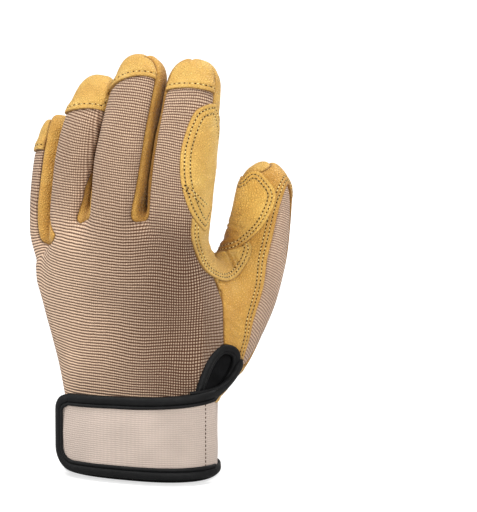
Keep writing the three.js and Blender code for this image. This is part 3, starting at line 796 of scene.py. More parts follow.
def degrees_round(net, name, cut=180):
    """Degrees round a digit from the side towards the thumb, from cut - 360 to cut."""
    angle = np.degrees(np.arctan2(net.get(name, BACK), net.get(name, ACROSS)))
    return np.where(angle > cut, angle - 360, np.where(angle <= cut - 360, angle + 360, angle))


def on_thumb(net, loop, cut, zero, size):
    """Distance to an outline on the thumb, with size millimetres to a degree round it."""
    flat = np.stack([net.get('thumb', HEIGHT), (degrees_round(net, 'thumb', cut) - zero) * size], 1)
    return flat_distance(flat, outline([(z, t * size) for z, t in loop], 8))


def thumb_window(net):
    """Below nought in the thumb's window of knit."""
    return on_thumb(net, THUMB_WINDOW, 270, 0, 0.28)


def thumb_pad(net):
    """Below nought on the reinforcement of the thumb's pad."""
    return np.maximum(on_thumb(net, THUMB_PAD, 360, 180, 0.262), 1 - nearest_finger(net, 'thumb', 3))


def thumb_side(net):
    """Below nought on the thumb's outer leather, from its tip down to the cuff."""
    x, y, z = net.points.T
    others = smooth_minimum([net.get(w, AWAY) for w in (*FINGERS, 'hand')], 4)
    near = net.get('thumb', AWAY) - others
    height, turn = net.get('thumb', HEIGHT), degrees_round(net, 'thumb', 270)
    seam = (knot_line(THUMB_SEAM, height, 1) - turn) * 0.3
    low = smooth_step(56, 48, z)
    palm = -smooth_minimum([-seam, 0.5 - near], 1.0) * (1 - low) + (15.5 + 0.25 * np.maximum(z - 38, 0) - x) * low
    crotch = np.where(z > 102, (turn - knot_line(THUMB_CROTCH, height, 1)) * 0.26, -20)
    flat = seen(net.points)
    rise = smooth_step(100, 108, z)
    back = (knot_line(KNIT_EDGE, flat[:, 1], 1) - flat[:, 0]) * (1 - rise) + near * rise
    side = smooth_step(9, 17, y)
    edge = back * (1 - side) + np.where(y > 9, palm, 0) * side
    return -smooth_minimum([-edge, -crotch], 1.0)


def finger_strip(net, name, toward, low, half):
    """Below nought on one side of a finger: toward is 1 for the thumb's side."""
    z, a, b = (net.get(name, k) for k in (HEIGHT, ACROSS, BACK))
    digit, high = fingers[name], TIP_HEIGHT[name] + 3
    return -smooth_minimum([(half - np.abs(b)) * digit.depth.mean(), (toward * a - 0.1) * digit.width.mean(),
                            z - low, high - z], 1.5)


def strip_between(net, left, right, low, half_left, half_right, edge=None):
    """Below nought on the two facing sides of neighbours and through the crotch between them."""
    b = blended(net, BACK, (left, right, 'hand'), 2.5)
    z = net.points[:, 2]
    fl, fr = net.get(left, AWAY), net.get(right, AWAY)
    t = smooth_step(-3, 3, fl - fr)
    across = (net.get(left, ACROSS) - 0.1) * fingers[left].width.mean() * (1 - t) + (-net.get(right, ACROSS)
        - 0.1) * fingers[right].width.mean() * t
    height = net.get(left, HEIGHT) * (1 - t) + net.get(right, HEIGHT) * t
    top = TIP_HEIGHT[left] * (1 - t) + TIP_HEIGHT[right] * t + 3
    wide_left, wide_right = ROOT_SPREAD[left]
    flare = smooth_step(low + 24, low + 6, z)
    back = ((half_left + wide_left * flare) * (1 - t) + (half_right + wide_right * flare) * t - b) * 12
    if right == 'middle':
        back = back - 4.0 * smooth_step(low + 24, low + 36, z)
    if edge:
        flat = seen(net.points)
        past = flat[:, 0] - knot_line(edge, flat[:, 1], 1)
        root = np.minimum.reduce([past, np.maximum(knot_line(RING_EDGE, flat[:, 1], 1) - flat[:, 0], (0.55 - b) * 12),
            back * t + 9 * (1 - t)])
        up = smooth_step(138, 168, flat[:, 1])
        back = np.where(b > 0, root * (1 - up) + (past * (1 - t) + back * t) * up, np.maximum(back, past))
        across = np.maximum(across, past) * (1 - t) + across * t
    palm = 0.55 * (1 - 0.3 * smooth_step(top - 24, top + 2, height))
    others = np.min([net.get(w, AWAY) for w in (*FINGERS, 'thumb') if w not in (left, right)], 0)
    return -smooth_minimum([back, (palm + b) * 12, across, z - low, top - height,
                            others - np.minimum(fl, fr) + 1], 1.5)


def nearest_finger(net, name, spare=0):
    """Above nought where the part named is the nearest, or would be if it lay closer by spare."""
    others = np.min([net.get(w, AWAY) for w in (*FINGERS, 'thumb', 'hand') if w != name], 0)
    return others - net.get(name, AWAY) + spare


def make_panels(grid):
    """Cuts the form into its panels."""
    points, tris = grid.surface()
    marks = np.concatenate([*[d.measure(points) for d in (*fingers.values(), thumb)], hand.measure(points)], 1)
    body = Net(points, tris, marks)
    _, whole = body.carve(body.points[:, 2] - BODY_FLOOR)
    _, rest = whole.carve(slit_distance(whole.points) - SLIT_ROOM)
    panels = {'slit_lining': whole.carve(slit_distance(whole.points) - LINING_ROOM)[0]}

    def take(name, region):
        nonlocal rest
        panels[name], rest = rest.carve(region(rest))
    take('thumb_knit', thumb_window)
    take('thumb_leather', thumb_side)
    take('side_strip_index', lambda n: finger_strip(
        n, 'index', 1, 139, 0.36 - 0.1 * smooth_step(180, 206, n.get('index', HEIGHT))))
    take('fourchette_index_middle', lambda n: strip_between(n, 'middle', 'index', 126, 0.6, 0.6))
    take('fourchette_middle_ring', lambda n: strip_between(n, 'ring', 'middle', 121, 0.5, 0.6))
    take('fourchette_ring_little', lambda n: strip_between(n, 'little', 'ring', 112.5, 0.86, 0.45, LITTLE_EDGE))
    take('side_strip_little', lambda n: finger_strip(n, 'little', -1, 114, 0.45))
    for name, (_, _, pad, cap, _) in FINGERS.items():
        rise, bend = CAP_EDGE[name]

        def side(net, sign, level):
            z, a, b = (net.get(name, k) for k in (HEIGHT, ACROSS, BACK))
            level = level + (rise * a + bend * a * a) * (sign > 0)
            return -smooth_minimum([sign * b * 12, z - level, nearest_finger(net, name, 2)], 0.6)
        take(f'tip_cap_{name}', lambda n: side(n, 1, cap))
        take(f'finger_pad_{name}', lambda n: side(n, -1, pad))
    take('back_knit', lambda n: -blended(n, BACK) * 14)
    edge = np.array(PALM_EDGE, float)
    take('palm_leather', lambda n: np.interp(n.points[:, 0], edge[:, 0], edge[:, 1]) - n.points[:, 2])
    panels['palm_heel'] = rest

    flat = seen(whole.points)
    turn = degrees_round(whole, 'index')
    patch = flat_distance(flat, outline(INDEX_PATCH, 8))
    under = (knot_line(INDEX_PALM_SIDE, whole.get('index', HEIGHT), 1) - turn) * 0.26
    patch = -smooth_minimum([-patch, -under, nearest_finger(whole, 'index', 6)], 1.5)
    pad = thumb_pad(whole)
    saddle = np.where(whole.points[:, 1] < 36, flat_distance(flat, outline(SADDLE, 8)), 20)
    saddle = np.maximum.reduce([saddle, 0.25 - patch, 0.25 - pad, nearest_finger(whole, 'middle', -1)])
    for name, region in (('index_patch', patch), ('thumb_pad_patch', pad), ('thumb_saddle', saddle)):
        panels[name] = whole.carve(region)[0]
    return {name: net for name, net in panels.items() if len(net.tris)}


# Materials

def linear(colour, share=1.0):
    """A share of a screen colour, as the shaders' numbers."""
    parts = (min(1, c * share) for c in colour[:3])
    return tuple(c / 12.92 if c <= 0.04045 else ((c + 0.055) / 1.055) ** 2.4 for c in parts) + (1.0,)


class Tree:
    """Short words for building a node tree."""

    def __init__(self, tree):
        self.tree = tree

    def give(self, socket, value):
        if isinstance(value, NodeSocket):
            self.tree.links.new(value, socket)
        else:
            socket.default_value = value

    def node(self, kind, inputs=None, **settings):
        node = self.tree.nodes.new(kind)
        for key, value in settings.items():
            setattr(node, key, value)
        for key, value in (inputs or {}).items():
            self.give(node.inputs[key], value)
        return node

    def math(self, operation, *values):
        return self.node('ShaderNodeMath', dict(enumerate(values)), operation=operation).outputs[0]

    def mix(self, share, a, b, blend='MIX'):
        node = self.node('ShaderNodeMix', data_type='RGBA', blend_type=blend)
        for name, value in (('Factor_Float', share), ('A_Color', a), ('B_Color', b)):
            self.give(next(s for s in node.inputs if s.identifier == name), value)
        return next(s for s in node.outputs if s.identifier == 'Result_Color')

    def spread(self, value, low, high, to_low=0.0, to_high=1.0):
        return self.node('ShaderNodeMapRange', {'Value': value, 'From Min': low, 'From Max': high, 'To Min': to_low,
            'To Max': to_high},
                         interpolation_type='SMOOTHSTEP').outputs['Result']

    def noise(self, vector, scale, detail, **inputs):
        return self.node('ShaderNodeTexNoise', {'Vector': vector, 'Scale': scale, 'Detail': detail,
            **inputs}).outputs['Fac']

    def attribute(self, name):
        return self.node('ShaderNodeAttribute', attribute_name=name).outputs['Fac']

    def place(self):
        return self.node('ShaderNodeTexCoord').outputs['Object']


def node_group(name, numbers, outputs):
    """A shader group that takes a vector and some numbers, given with their usual values."""
    group = bpy.data.node_groups.new(name, 'ShaderNodeTree')
    face = group.interface
    face.new_socket(name='Vector', in_out='INPUT', socket_type='NodeSocketVector')
    for label, value in numbers.items():
        face.new_socket(name=label, in_out='INPUT', socket_type='NodeSocketFloat').default_value = value
    for label in outputs:
        face.new_socket(name=label, in_out='OUTPUT', socket_type='NodeSocketFloat')
    t = Tree(group)
    return group, t, t.node('NodeGroupInput').outputs, t.node('NodeGroupOutput').inputs


def grain_group():
    """Leather: pebbled grain, pores and slow changes of tone, from a point in metres."""
    group, t, given, out = node_group('Leather grain', {'Size': 0.001, 'Seam': 0.0}, ('Height', 'Tone', 'Pores'))
    at, scale = given['Vector'], t.math('DIVIDE', 1.0, given['Size'])
    warp = t.node('ShaderNodeTexNoise', {'Vector': at, 'Scale': t.math('MULTIPLY', scale, 0.6), 'Detail': 2.0})
    off = t.node('ShaderNodeVectorMath', {0: warp.outputs['Color'], 1: (0.0004, 0.0004, 0.0004)},
        operation='MULTIPLY').outputs[0]
    place = t.node('ShaderNodeVectorMath', {0: at, 1: off}, operation='ADD').outputs[0]
    cells = t.node('ShaderNodeTexVoronoi', {'Vector': place, 'Scale': scale, 'Randomness': 0.9},
        feature='DISTANCE_TO_EDGE')
    pebble = t.spread(cells.outputs['Distance'], 0.0, 0.35)
    fine, wrinkle = t.noise(at, 1500.0, 3.0), t.noise(at, 260.0, 4.0, Distortion=0.6)
    small = t.math('ADD', t.math('MULTIPLY', fine, 0.12), t.math('MULTIPLY', wrinkle, 0.45))
    pores = t.node('ShaderNodeTexVoronoi', {'Vector': place,
        'Scale': t.math('MULTIPLY', scale, 1.4)}).outputs['Distance']
    t.give(out['Height'], t.math('ADD', t.math('MULTIPLY', pebble, 0.65), small))
    t.give(out['Tone'], t.noise(at, 70.0, 5.0, Roughness=0.62))
    t.give(out['Pores'], t.spread(pores, 0.16, 0.02))
    return group


def rib_group():
    """Knit: raised dots in ribs and columns, from the weave map in metres."""
    group, t, given, out = node_group('Rib knit', {'Rib': 0.0015, 'Column': 0.0013, 'Columns': 0.6},
        ('Height', 'Mask'))
    at = given['Vector']
    part = t.node('ShaderNodeSeparateXYZ', {0: at}).outputs
    shift = t.math('MULTIPLY', t.math('SUBTRACT', t.noise(at, 220.0, 2.0), 0.5), 0.0005)

    def wave(value, pitch):
        turns = t.math('MULTIPLY', t.math('DIVIDE', t.math('ADD', value, shift), pitch), 2 * math.pi)
        return t.math('ADD', t.math('MULTIPLY', t.math('COSINE', turns), 0.5), 0.5)
    rib, column = wave(part['Y'], given['Rib']), wave(part['X'], given['Column'])
    eased = t.math('ADD', t.math('MULTIPLY', column, given['Columns']), t.math('SUBTRACT', 1.0, given['Columns']))
    dots = t.math('MULTIPLY', t.math('POWER', rib, 0.8), eased)
    height = t.math('ADD', dots, t.math('MULTIPLY', t.noise(at, 3000.0, 2.0), 0.15))
    t.give(out['Height'], height)
    t.give(out['Mask'], t.spread(height, 0.12, 0.98))
    return group


def material(name):
    """A new material with its tree and its shader."""
    made = bpy.data.materials.new(name)
    made.use_nodes = True
    made.node_tree.nodes.clear()
    t = Tree(made.node_tree)
    out = t.node('ShaderNodeOutputMaterial')
    shader = t.node('ShaderNodeBsdfPrincipled')
    t.give(out.inputs['Surface'], shader.outputs[0])
    return made, t, shader


def surface(t, shader, colour, rough, height, strength, distance, *amounts):
    """Gives a shader its colour, roughness and bump, and amounts by name for its other sockets."""
    bump = t.node('ShaderNodeBump', {'Height': height, 'Strength': strength, 'Distance': distance}).outputs[0]
    for key, value in (('Base Color', colour), ('Roughness', rough), ('Normal', bump), *amounts):
        t.give(shader.inputs[key], value)


def leather_material(name, groups, look):
    made, t, shader = material(name)
    seam_and_shade, tone = t.attribute('seam'), t.attribute('tone')
    g = t.node('ShaderNodeGroup', {'Vector': t.place(), 'Size': GRAIN_SIZE}, node_tree=groups['grain']).outputs
    light, main, shade = look.leather_light, look.leather_main, look.leather_shade
    colour = t.mix(t.spread(g['Tone'], 0.32, 0.62), linear(shade), linear(main))
    colour = t.mix(t.spread(g['Tone'], 0.52, 0.78, 0.0, 0.7), colour, linear(light))
    colour = t.mix(t.spread(g['Height'], 0.75, 0.3, 0.0, 0.32), colour, linear(shade, 0.76))
    colour = t.mix(t.math('MULTIPLY', g['Pores'], 0.22), colour, linear(shade, 0.6))
    # darker towards the seam colour at seam lines and cut edges, and painted shade in creases, folds, stitch valleys,
    # the thumb's crotch and between the fingers
    colour = t.mix(t.math('MULTIPLY', seam_and_shade, 0.75), colour, linear(look.seam_and_shade_colour))
    # lighter or deeper colour by tone: the hides' own colours, and painted shade on the fourchettes, the caps and the
    # thumb's pad near the crotch
    colour = t.mix(t.spread(tone, 0.0, -1.0), colour, (1.3, 1.32, 1.24, 1.0), 'MULTIPLY')
    colour = t.mix(t.spread(tone, 0.0, 1.0), colour, (0.86, 0.72, 0.5, 1.0), 'MULTIPLY')
    surface(t, shader, colour, t.spread(g['Height'], 0.3, 0.9, 0.6, 0.42), g['Height'], 0.9, 0.00065,
            ('Sheen Weight', 0.06), ('Specular IOR Level', 0.32))
    return made


def knit_material(name, groups, look, dark, columns=None, fine=1.0):
    made, t, shader = material(name)
    woven = t.node('ShaderNodeUVMap', uv_map='weave').outputs['UV']
    world, seam_and_shade, tone = t.place(), t.attribute('seam'), t.attribute('tone')
    if columns is None:
        columns = t.attribute('columns')
    g = t.node('ShaderNodeGroup', {'Vector': woven, 'Rib': look.rib_pitch * fine, 'Column': look.column_pitch * fine,
        'Columns': columns},
               node_tree=groups['ribs']).outputs
    slow, yarn = t.noise(world, 38.0, 5.0), t.noise(world, 900.0, 2.0)
    pale = look.knit_light
    light = t.mix(t.spread(slow, 0.35, 0.7), linear(pale), linear(pale, 0.92))
    light = t.mix(t.spread(yarn, 0.35, 0.7, 0.0, 0.35), light, linear(pale, 0.8))
    # tone darkens the knit in the middle of the hand's back: painted shade
    light = t.mix(tone, light, linear(pale, 0.8))
    narrow = t.math('POWER', g['Mask'], t.math('MULTIPLY_ADD', tone, 0.5, 0.5))
    colour = t.mix(narrow, t.mix(tone, linear(tuple(c + 0.04 for c in dark)), linear(dark)), light)
    # darker at seam lines, and painted shade in the knit deep between the fingers
    colour = t.mix(t.math('MULTIPLY', seam_and_shade, 0.6), colour, linear(dark, 0.7))
    surface(t, shader, colour, t.spread(g['Height'], 0.0, 1.0, 0.95, 0.78), g['Height'], 0.9, 0.0007,
            ('Sheen Weight', 0.12), ('Sheen Roughness', 0.5), ('Specular IOR Level', 0.2))
    return made


def tape_material(name, colour, rough, pitch=0.0007):
    made, t, shader = material(name)
    place = t.place()
    weave = t.node('ShaderNodeTexVoronoi', {'Vector': place, 'Scale': 1 / pitch}).outputs['Distance']
    slow = t.noise(place, 180.0, 5.0)
    tint = t.mix(t.spread(slow, 0.3, 0.75), linear(colour, 0.78), linear(colour, 1.25))
    surface(t, shader, tint, t.spread(slow, 0.3, 0.8, rough + 0.08, rough - 0.08), weave, 0.5, 0.0003,
        ('Specular IOR Level', 0.22))
    return made


def elastic_material(name, groups, look):
    made, t, shader = material(name)
    woven = t.node('ShaderNodeUVMap', uv_map='weave').outputs['UV']
    g = t.node('ShaderNodeGroup', {'Vector': woven, 'Rib': 0.0011, 'Column': 0.0014, 'Columns': 0.5},
        node_tree=groups['ribs']).outputs
    slow, pale = t.noise(t.place(), 60.0, 5.0), look.elastic_colour
    base = t.mix(t.spread(slow, 0.3, 0.7), linear(pale), linear(pale, 0.95))
    colour = t.mix(t.spread(g['Height'], 0.0, 0.9, 0.55, 0.0), base, linear(pale, 0.8))
    surface(t, shader, colour, t.spread(g['Height'], 0.0, 1.0, 0.92, 0.75), g['Height'], 0.6, 0.0003,
        ('Sheen Weight', 0.1))
    return made


GRAIN_SIZE, THREAD_TWIST = 0.0013, 0.0004  # metres
STRAP_THREAD = (0.27, 0.2, 0.13)


def make_materials(look):
    groups = {'grain': grain_group(), 'ribs': rib_group()}
    m = Made.materials
    m['leather'] = leather_material('Golden leather', groups, look)
    m['knit'] = knit_material('Back knit', groups, look, look.knit_dark)
    # the thumb's knit has lighter gaps between its ribs: partly its finer weave, partly painted light where it lies
    # on the dimmer side
    m['thumb_knit'] = knit_material('Thumb knit', groups, look, tuple(c + 0.22 for c in look.knit_dark), 0.6, 0.75)
    m['tape'] = tape_material('Black tape', look.tape_colour, 0.55)
    m['lining'] = tape_material('Black lining', tuple(c * 1.5 for c in look.tape_colour), 0.85)
    m['elastic'] = elastic_material('Cuff elastic', groups, look)
    m['thread'] = tape_material('Leather thread', look.thread_colour, 0.6, THREAD_TWIST)
    m['strap_thread'] = tape_material('Strap thread', STRAP_THREAD, 0.7, THREAD_TWIST)
    # dark discs that stand for the painted shade in the needle holes
    m['hole'] = tape_material('Needle holes', look.hole_shade_colour, 0.8, THREAD_TWIST)


# Panels dressed as cloth and leather

THICK = {'knit': 1.1, 'leather': 1.3}
# stitch rows from a panel's lapped edge
ROWS = {'tip_cap': (2.4,), 'index_patch': (2.2, 5.0), 'thumb_pad_patch': (1.9, 3.7), 'thumb_saddle': (1.9, 3.7),
    'thumb_leather': (2.4, 4.3), 'palm_leather': (1.9, 3.7)}
# a lighter colour below nought, a deeper one above: the patches' and the thumb's own hides, a deeper colour on the
# side strips, and painted shade on the fourchettes between the fingers and on the caps under the top light
TONE = {'thumb_pad_patch': -0.8, 'index_patch': -0.3, 'thumb_leather': 0.65, 'fourchette': 0.6, 'side_strip': 0.25,
    'tip_cap': 0.12}
RAISED = {'index_patch': 1.25, 'thumb_pad_patch': 1.25, 'thumb_saddle': 1.25}
OVER = {('tip_cap', 'back_knit'): 0.9, ('thumb_leather', 'thumb_knit'): 0.8, ('palm_leather', 'palm_heel'): 1.1,
    ('finger_pad', 'palm_leather'): 1.0}
FOLDED = ('thumb_saddle', 'thumb_leather', 'thumb_pad_patch', 'index_patch')
HEEL_ROWS = (1.9, 3.7)  # stitch rows of the palm from the heel's edge
SEAM_REACH, HIDDEN = 1.0, 1.6  # how near a neighbour's border lies, and how near a patch hides the saddle's
OVER_EDGE, UNDER_EDGE, TURNED_EDGE, FREE_EDGE = range(4)
OVER_MARK, UNDER_MARK, TURNED_MARK = 3, 4, 5  # columns of a dressed net's marks, after its normal


def family(name):
    """A panel's kind, which is its name without the finger's where each finger has one."""
    return name.rsplit('_', 1)[0] if name.startswith(('tip_cap', 'finger_pad')) else name


def waves(points, seed, shortest, longest, count=12):
    """A slow uneven swell between about -1 and 1."""
    rng = np.random.default_rng(seed)
    out = np.zeros(len(points))
    for _ in range(count):
        way = unit(rng.normal(size=3)) * 2 * math.pi / rng.uniform(shortest, longest)
        out += np.sin(points @ way + rng.uniform(0, 2 * math.pi))
    return out / math.sqrt(count)


def neighbours_of(panels):
    """For each panel, the panel on the other side of each border edge."""
    names = [n for n in panels if n not in RAISED and n != 'slit_lining']
    rims = {n: panels[n].rim() for n in names}
    spots = [panels[n].points[np.unique(rims[n])] for n in names]
    owner = np.repeat(np.arange(len(names)), [len(v) for v in spots])
    tree = search_tree(np.concatenate(spots))
    out = {}
    for k, n in enumerate(names):
        out[n] = []
        for p in panels[n].points[rims[n]].mean(1):
            near = (names[owner[i]] for _, i, d in tree.find_n(p, 8) if d <= SEAM_REACH and owner[i] != k)
            out[n].append(next(near, ''))
    return out


def seam_kind(name, other):
    """How a panel's edge lies against its neighbour, and how far the upper one stands up."""
    a, b = family(name), family(other)
    if not other:
        return FREE_EDGE, 0
    if (a, b) in OVER:
        return OVER_EDGE, OVER[a, b]
    if (b, a) in OVER:
        return UNDER_EDGE, OVER[b, a]
    return TURNED_EDGE, 0


def line_distance(p, line):
    """Distance of flat points to an open line."""
    best = np.full(len(p), 1e9)
    for (x0, y0), (x1, y1) in zip(line[:-1], line[1:]):
        dx, dy = x1 - x0, y1 - y0
        t = np.clip(((p[:, 0] - x0) * dx + (p[:, 1] - y0) * dy) / (dx * dx + dy * dy), 0, 1)
        best = np.minimum(best, np.hypot(p[:, 0] - x0 - t * dx, p[:, 1] - y0 - t * dy))
    return best


def weave_map(net, name):
    """Lengths round and along the knit, without a jump between the hand and the fingers."""
    if name == 'thumb_knit':
        return net.get('thumb', ROUND), net.get('thumb', HEIGHT)
    who = (*FINGERS, 'hand')
    away = np.stack([net.get(w, AWAY) for w in who])
    share = np.exp(-(away - away.min(0)) / 4.5)
    share /= share.sum(0)
    across, along, root = 0, 0, np.array([0.3])
    for part, w in zip(share, FINGERS):
        digit = fingers[w]
        spot = digit.at(digit.mid, root) + digit.at(digit.back, root) * digit.at(digit.depth, root)[:, None]
        shift = hand.measure(spot)[0, ROUND] - digit.measure(spot)[0, ROUND]
        across = across + part * (net.get(w, ROUND) + shift)
        along = along + part * net.get(w, HEIGHT)
    across, along = across + share[-1] * net.get('hand', ROUND), along + share[-1] * net.points[:, 2]
    along = along + 0.22 * np.logaddexp(0, (along - 150) / 8) * 8
    return across, along + 0.7 * waves(net.points, 77, 22, 60, 9)


def ringed(net, levels):
    """A net that is cut along lines at these distances from its border."""
    for level in levels:
        net, _ = net.cut(net.from_rim()[0] - level, 0.2)
    return net


def hump(off, place, width):
    return np.exp(-((off - place) / width) ** 2)


def pleat(off):
    """A groove with a soft ridge beside it."""
    return 0.5 * hump(off, 1.9, 0.9) - hump(off, 0, 1)


def second_finger(net):
    """Distance to the second nearest finger, which is small in a crotch."""
    return np.sort(np.stack([net.get(w, AWAY) for w in FINGERS]), 0)[1]


def edge_kinds(name, net, panels, around):
    """The middles of a panel's border edges, how each edge lies and how far it stands up."""
    mids = net.points[net.rim()].mean(1)
    raised = RAISED.get(name, 0)
    kinds = [(OVER_EDGE, raised)] * len(mids) if raised else [seam_kind(name, other) for other in around[name]]
    if name == 'thumb_saddle':
        tree = search_tree(np.concatenate([panels['index_patch'].points, panels['thumb_pad_patch'].points]))
        kinds = [(FREE_EDGE, raised) if tree.find(p)[2] < HIDDEN else kind for p, kind in zip(mids, kinds)]
    return mids, np.array([k for k, _ in kinds]), np.array([v for _, v in kinds], float)


def leather_relief(name, net, normal, d, over, under, shape):
    """Heights of a leather panel's swell, stitch valleys and folds, and the painted shade in them, in the thumb's
    crotch and between the fingers.
    """
    h = shape.swell * waves(net.points, len(name) * 7 + 3, 13, 30) * smooth_step(0.5, 4, d)
    crease_shade = np.zeros(len(d))
    rows = [(over, row) for row in ROWS.get(family(name), ())]
    if name == 'palm_leather':
        rows += [(under, row) for row in HEEL_ROWS]
    # stitch valleys, with painted shade along them
    for off, row in rows:
        h += 0.22 * hump(off, row, 1.5) - 0.5 * hump(off, row, 0.55)
        crease_shade = np.maximum(crease_shade, 0.22 * hump(off, row, 0.6))
    flat, low = seen(net.points), net.points[:, [0, 2]]
    front, rear = normal @ (0.33, -0.92, 0.22) > -0.2, normal[:, 1] > 0.2
    # folds, with painted shade in them
    for *ends, depth, width, dark in FOLDS if name in FOLDED else ():
        off = line_distance(flat, [ends[:2], ends[2:]]) / width
        h += front * depth * (0.4 if name == 'thumb_pad_patch' else 0.75) * pleat(off)
        crease_shade = np.maximum(crease_shade, front * dark * hump(off, 0, 1))
    # painted shade round the thumb's crotch
    if name.startswith('thumb'):
        near = smooth_step(16, 4, np.hypot(*(flat - CROTCH).T))
        crease_shade = np.maximum(crease_shade, front * (0.3 if name == 'thumb_saddle' else 0.8) * near)
    # painted shade on the strips deep between the fingers
    if name.startswith('fourchette'):
        crease_shade = np.maximum(crease_shade, 0.8 * smooth_step(8.5, 1.5, second_finger(net)))
    # folds of the palm, with painted shade in them
    for *ends, depth, width in PALM_FOLDS if name in ('palm_leather', 'palm_heel', 'thumb_leather') else ():
        off = line_distance(low, [ends[:2], ends[2:]]) / width
        h += rear * depth * pleat(off)
        crease_shade = np.maximum(crease_shade, rear * 0.3 * hump(off, 0, 1))
    # grooves of the palm's crossing seams, with painted shade in them
    for line in PALM_LINES if name == 'palm_leather' else ():
        off = line_distance(low, line)
        h += rear * (0.3 * hump(off, 2.4, 1.2) - 0.5 * hump(off, 0, 0.6))
        crease_shade = np.maximum(crease_shade, rear * 0.5 * hump(off, 0, 0.5))
    return h, crease_shade


def colour_marks(name, net, leather):
    """At each point, how far the knit's columns show and how deep the colour is, partly with painted shade."""
    x, y = seen(net.points).T
    low_hand = smooth_step(140, 112, y)
    sides = 0.15 * smooth_step(0, 30, x) - 0.35 * smooth_step(20, -15, x) - 0.25 * smooth_step(-20, -45, x)
    if not leather:
        # the knit is darker in the middle of the hand's back: painted shade
        return 0.75 + low_hand * sides, low_hand * hump(x, 8, 32) * smooth_step(22, 48, y)
    tone = np.full(len(x), next((v for k, v in TONE.items() if name.startswith(k)), 0.0))
    # painted shade on the thumb's pad towards the crotch
    if name == 'thumb_pad_patch':
        tone += 1.5 * smooth_step(28, 7, np.hypot(x - CROTCH[0], y - CROTCH[1]))
    return 0.75 + low_hand * sides, tone


def dress(panels, shape):
    """Gives each panel its thickness, its edges and its relief."""
    around = neighbours_of(panels)
    for name, net in panels.items():
        if name == 'slit_lining':
            continue
        raised, leather = RAISED.get(name, 0), 'knit' not in name
        mids, kind_of, lift_of = edge_kinds(name, net, panels, around)
        net = ringed(net, (0.4, 1.0, 1.9))
        rim = net.rim()
        # each border edge is now as the first one nearest to it
        first = search_tree(mids)
        place = np.array([first.find(p)[1] for p in net.points[rim].mean(1)])
        tags, lifts = kind_of[place], lift_of[place]
        d = net.from_rim(rounds=14)[0]
        over, under, turned = (net.from_rim(rim[tags == k], 14)[0] for k in (OVER_EDGE, UNDER_EDGE, TURNED_EDGE))
        normal = unit(Made.grid.slope(net.points))
        depth, width = (shape.seam_depth, 1.7) if leather else (shape.seam_depth * 0.8, 1.5)
        h = -depth * np.clip(1 - turned / width, 0, 1) ** 2
        h += shape.puff * (smooth_step(0.6, 2.6, turned) * smooth_step(9.0, 3.0, turned)) * (1 if leather else 0.5)
        h -= 0.55 * smooth_step(1.6, 0.2, under)
        lift = lifts[tags == OVER_EDGE].max(initial=0)
        if raised:
            h += raised - 0.18 * smooth_step(0.45, 0.0, over)
        else:
            h += lift * smooth_step(8.0, 2.5, over) - 0.2 * smooth_step(0.45, 0.0, over)
        if leather:
            relief, crease_shade = leather_relief(name, net, normal, d, over, under, shape)
        else:
            relief = shape.swell * 0.5 * waves(net.points, 11, 16, 40) * smooth_step(0.5, 4, d)
            # painted shade in the knit deep between the fingers
            crease_shade = 0.7 * smooth_step(3.0, 0.5, second_finger(net))
        h += relief
        # darker seam lines and cut edges, and the painted shade of crease_shade
        seam = np.maximum.reduce([smooth_step(0.9, 0.0, turned), smooth_step(0.6, 0.0, over) * 0.75, crease_shade])
        kind = 'leather' if leather else 'knit'
        deep = raised - 0.15 if raised else THICK[kind] + lift * smooth_step(3.0, 1.0, over)
        outer, inner = net.points + normal * h[:, None], net.points + normal * (h - deep)[:, None]
        columns, tone = colour_marks(name, net, leather)
        add_shell(name, net, outer, inner, Made.materials['thumb_knit' if name == 'thumb_knit' else kind],
                  {'seam': seam, 'columns': columns, 'tone': tone}, np.stack(weave_map(net, name), 1) * MM)
        Made.dressed[name] = Net(outer, net.tris, np.column_stack([normal, over, under, turned]))


# Cuff, strap and slit

CLIP_HOLE = (-1.0, 21.7, 6.4)  # x, z, radius
# Sections of the tapes. Cuff: outwards from it, height. Strap: outwards from its face, inwards from its edge. Others:
# across, outwards
HEM_SECTION = [(-2.5, 1.0), (-2.5, 4.3), (-2.1, 5.2), (-1.75, 5.3), (-1.75, 1.7), (0.15, 1.7), (0.15, 5.2),
    (0.7, 5.3), (1.25, 5.0), (1.5, 4.3), (1.32, 3.9), (1.55, 3.4), (1.6, 2.2), (1.35, 1.1), (0.7, 0.3), (-0.4, 0.0),
    (-1.5, 0.15), (-2.2, 0.5)]
STRAP_SECTION = [(0.0, 0.9), (0.15, 0.35), (0.6, 0.05), (1.7, 0.0), (2.8, 0.1), (3.4, 0.6), (3.65, 1.4), (3.7, 2.2),
    (3.5, 3.0), (3.05, 3.5), (2.75, 3.65), (3.2, 3.85), (3.55, 4.3), (3.5, 4.8), (3.1, 5.2), (2.5, 5.3), (2.3, 4.6),
    (1.0, 4.5), (0.6, 5.2), (0.1, 5.1), (0.0, 4.2)]
SLIT_SECTION = [(-0.9, -0.7), (-1.0, 0.2), (-0.7, 0.9), (-0.1, 1.35), (0.4, 1.45), (0.75, 1.2), (1.1, 1.5),
    (2.2, 1.75), (3.3, 1.45), (4.0, 0.7), (4.2, -0.2), (3.9, -1.0), (3.2, -1.4), (1.4, -1.4), (-0.3, -1.2)]
BAND_SECTION = [(3.0, -0.2), (2.7, 0.8), (1.5, 1.35), (-0.3, 1.4), (-1.3, 1.1), (-1.7, 0.8), (-2.2, 1.15),
    (-2.9, 1.0), (-3.2, 0.3), (-3.0, -0.8), (-1.4, -1.3), (1.5, -1.3), (2.7, -0.9)]


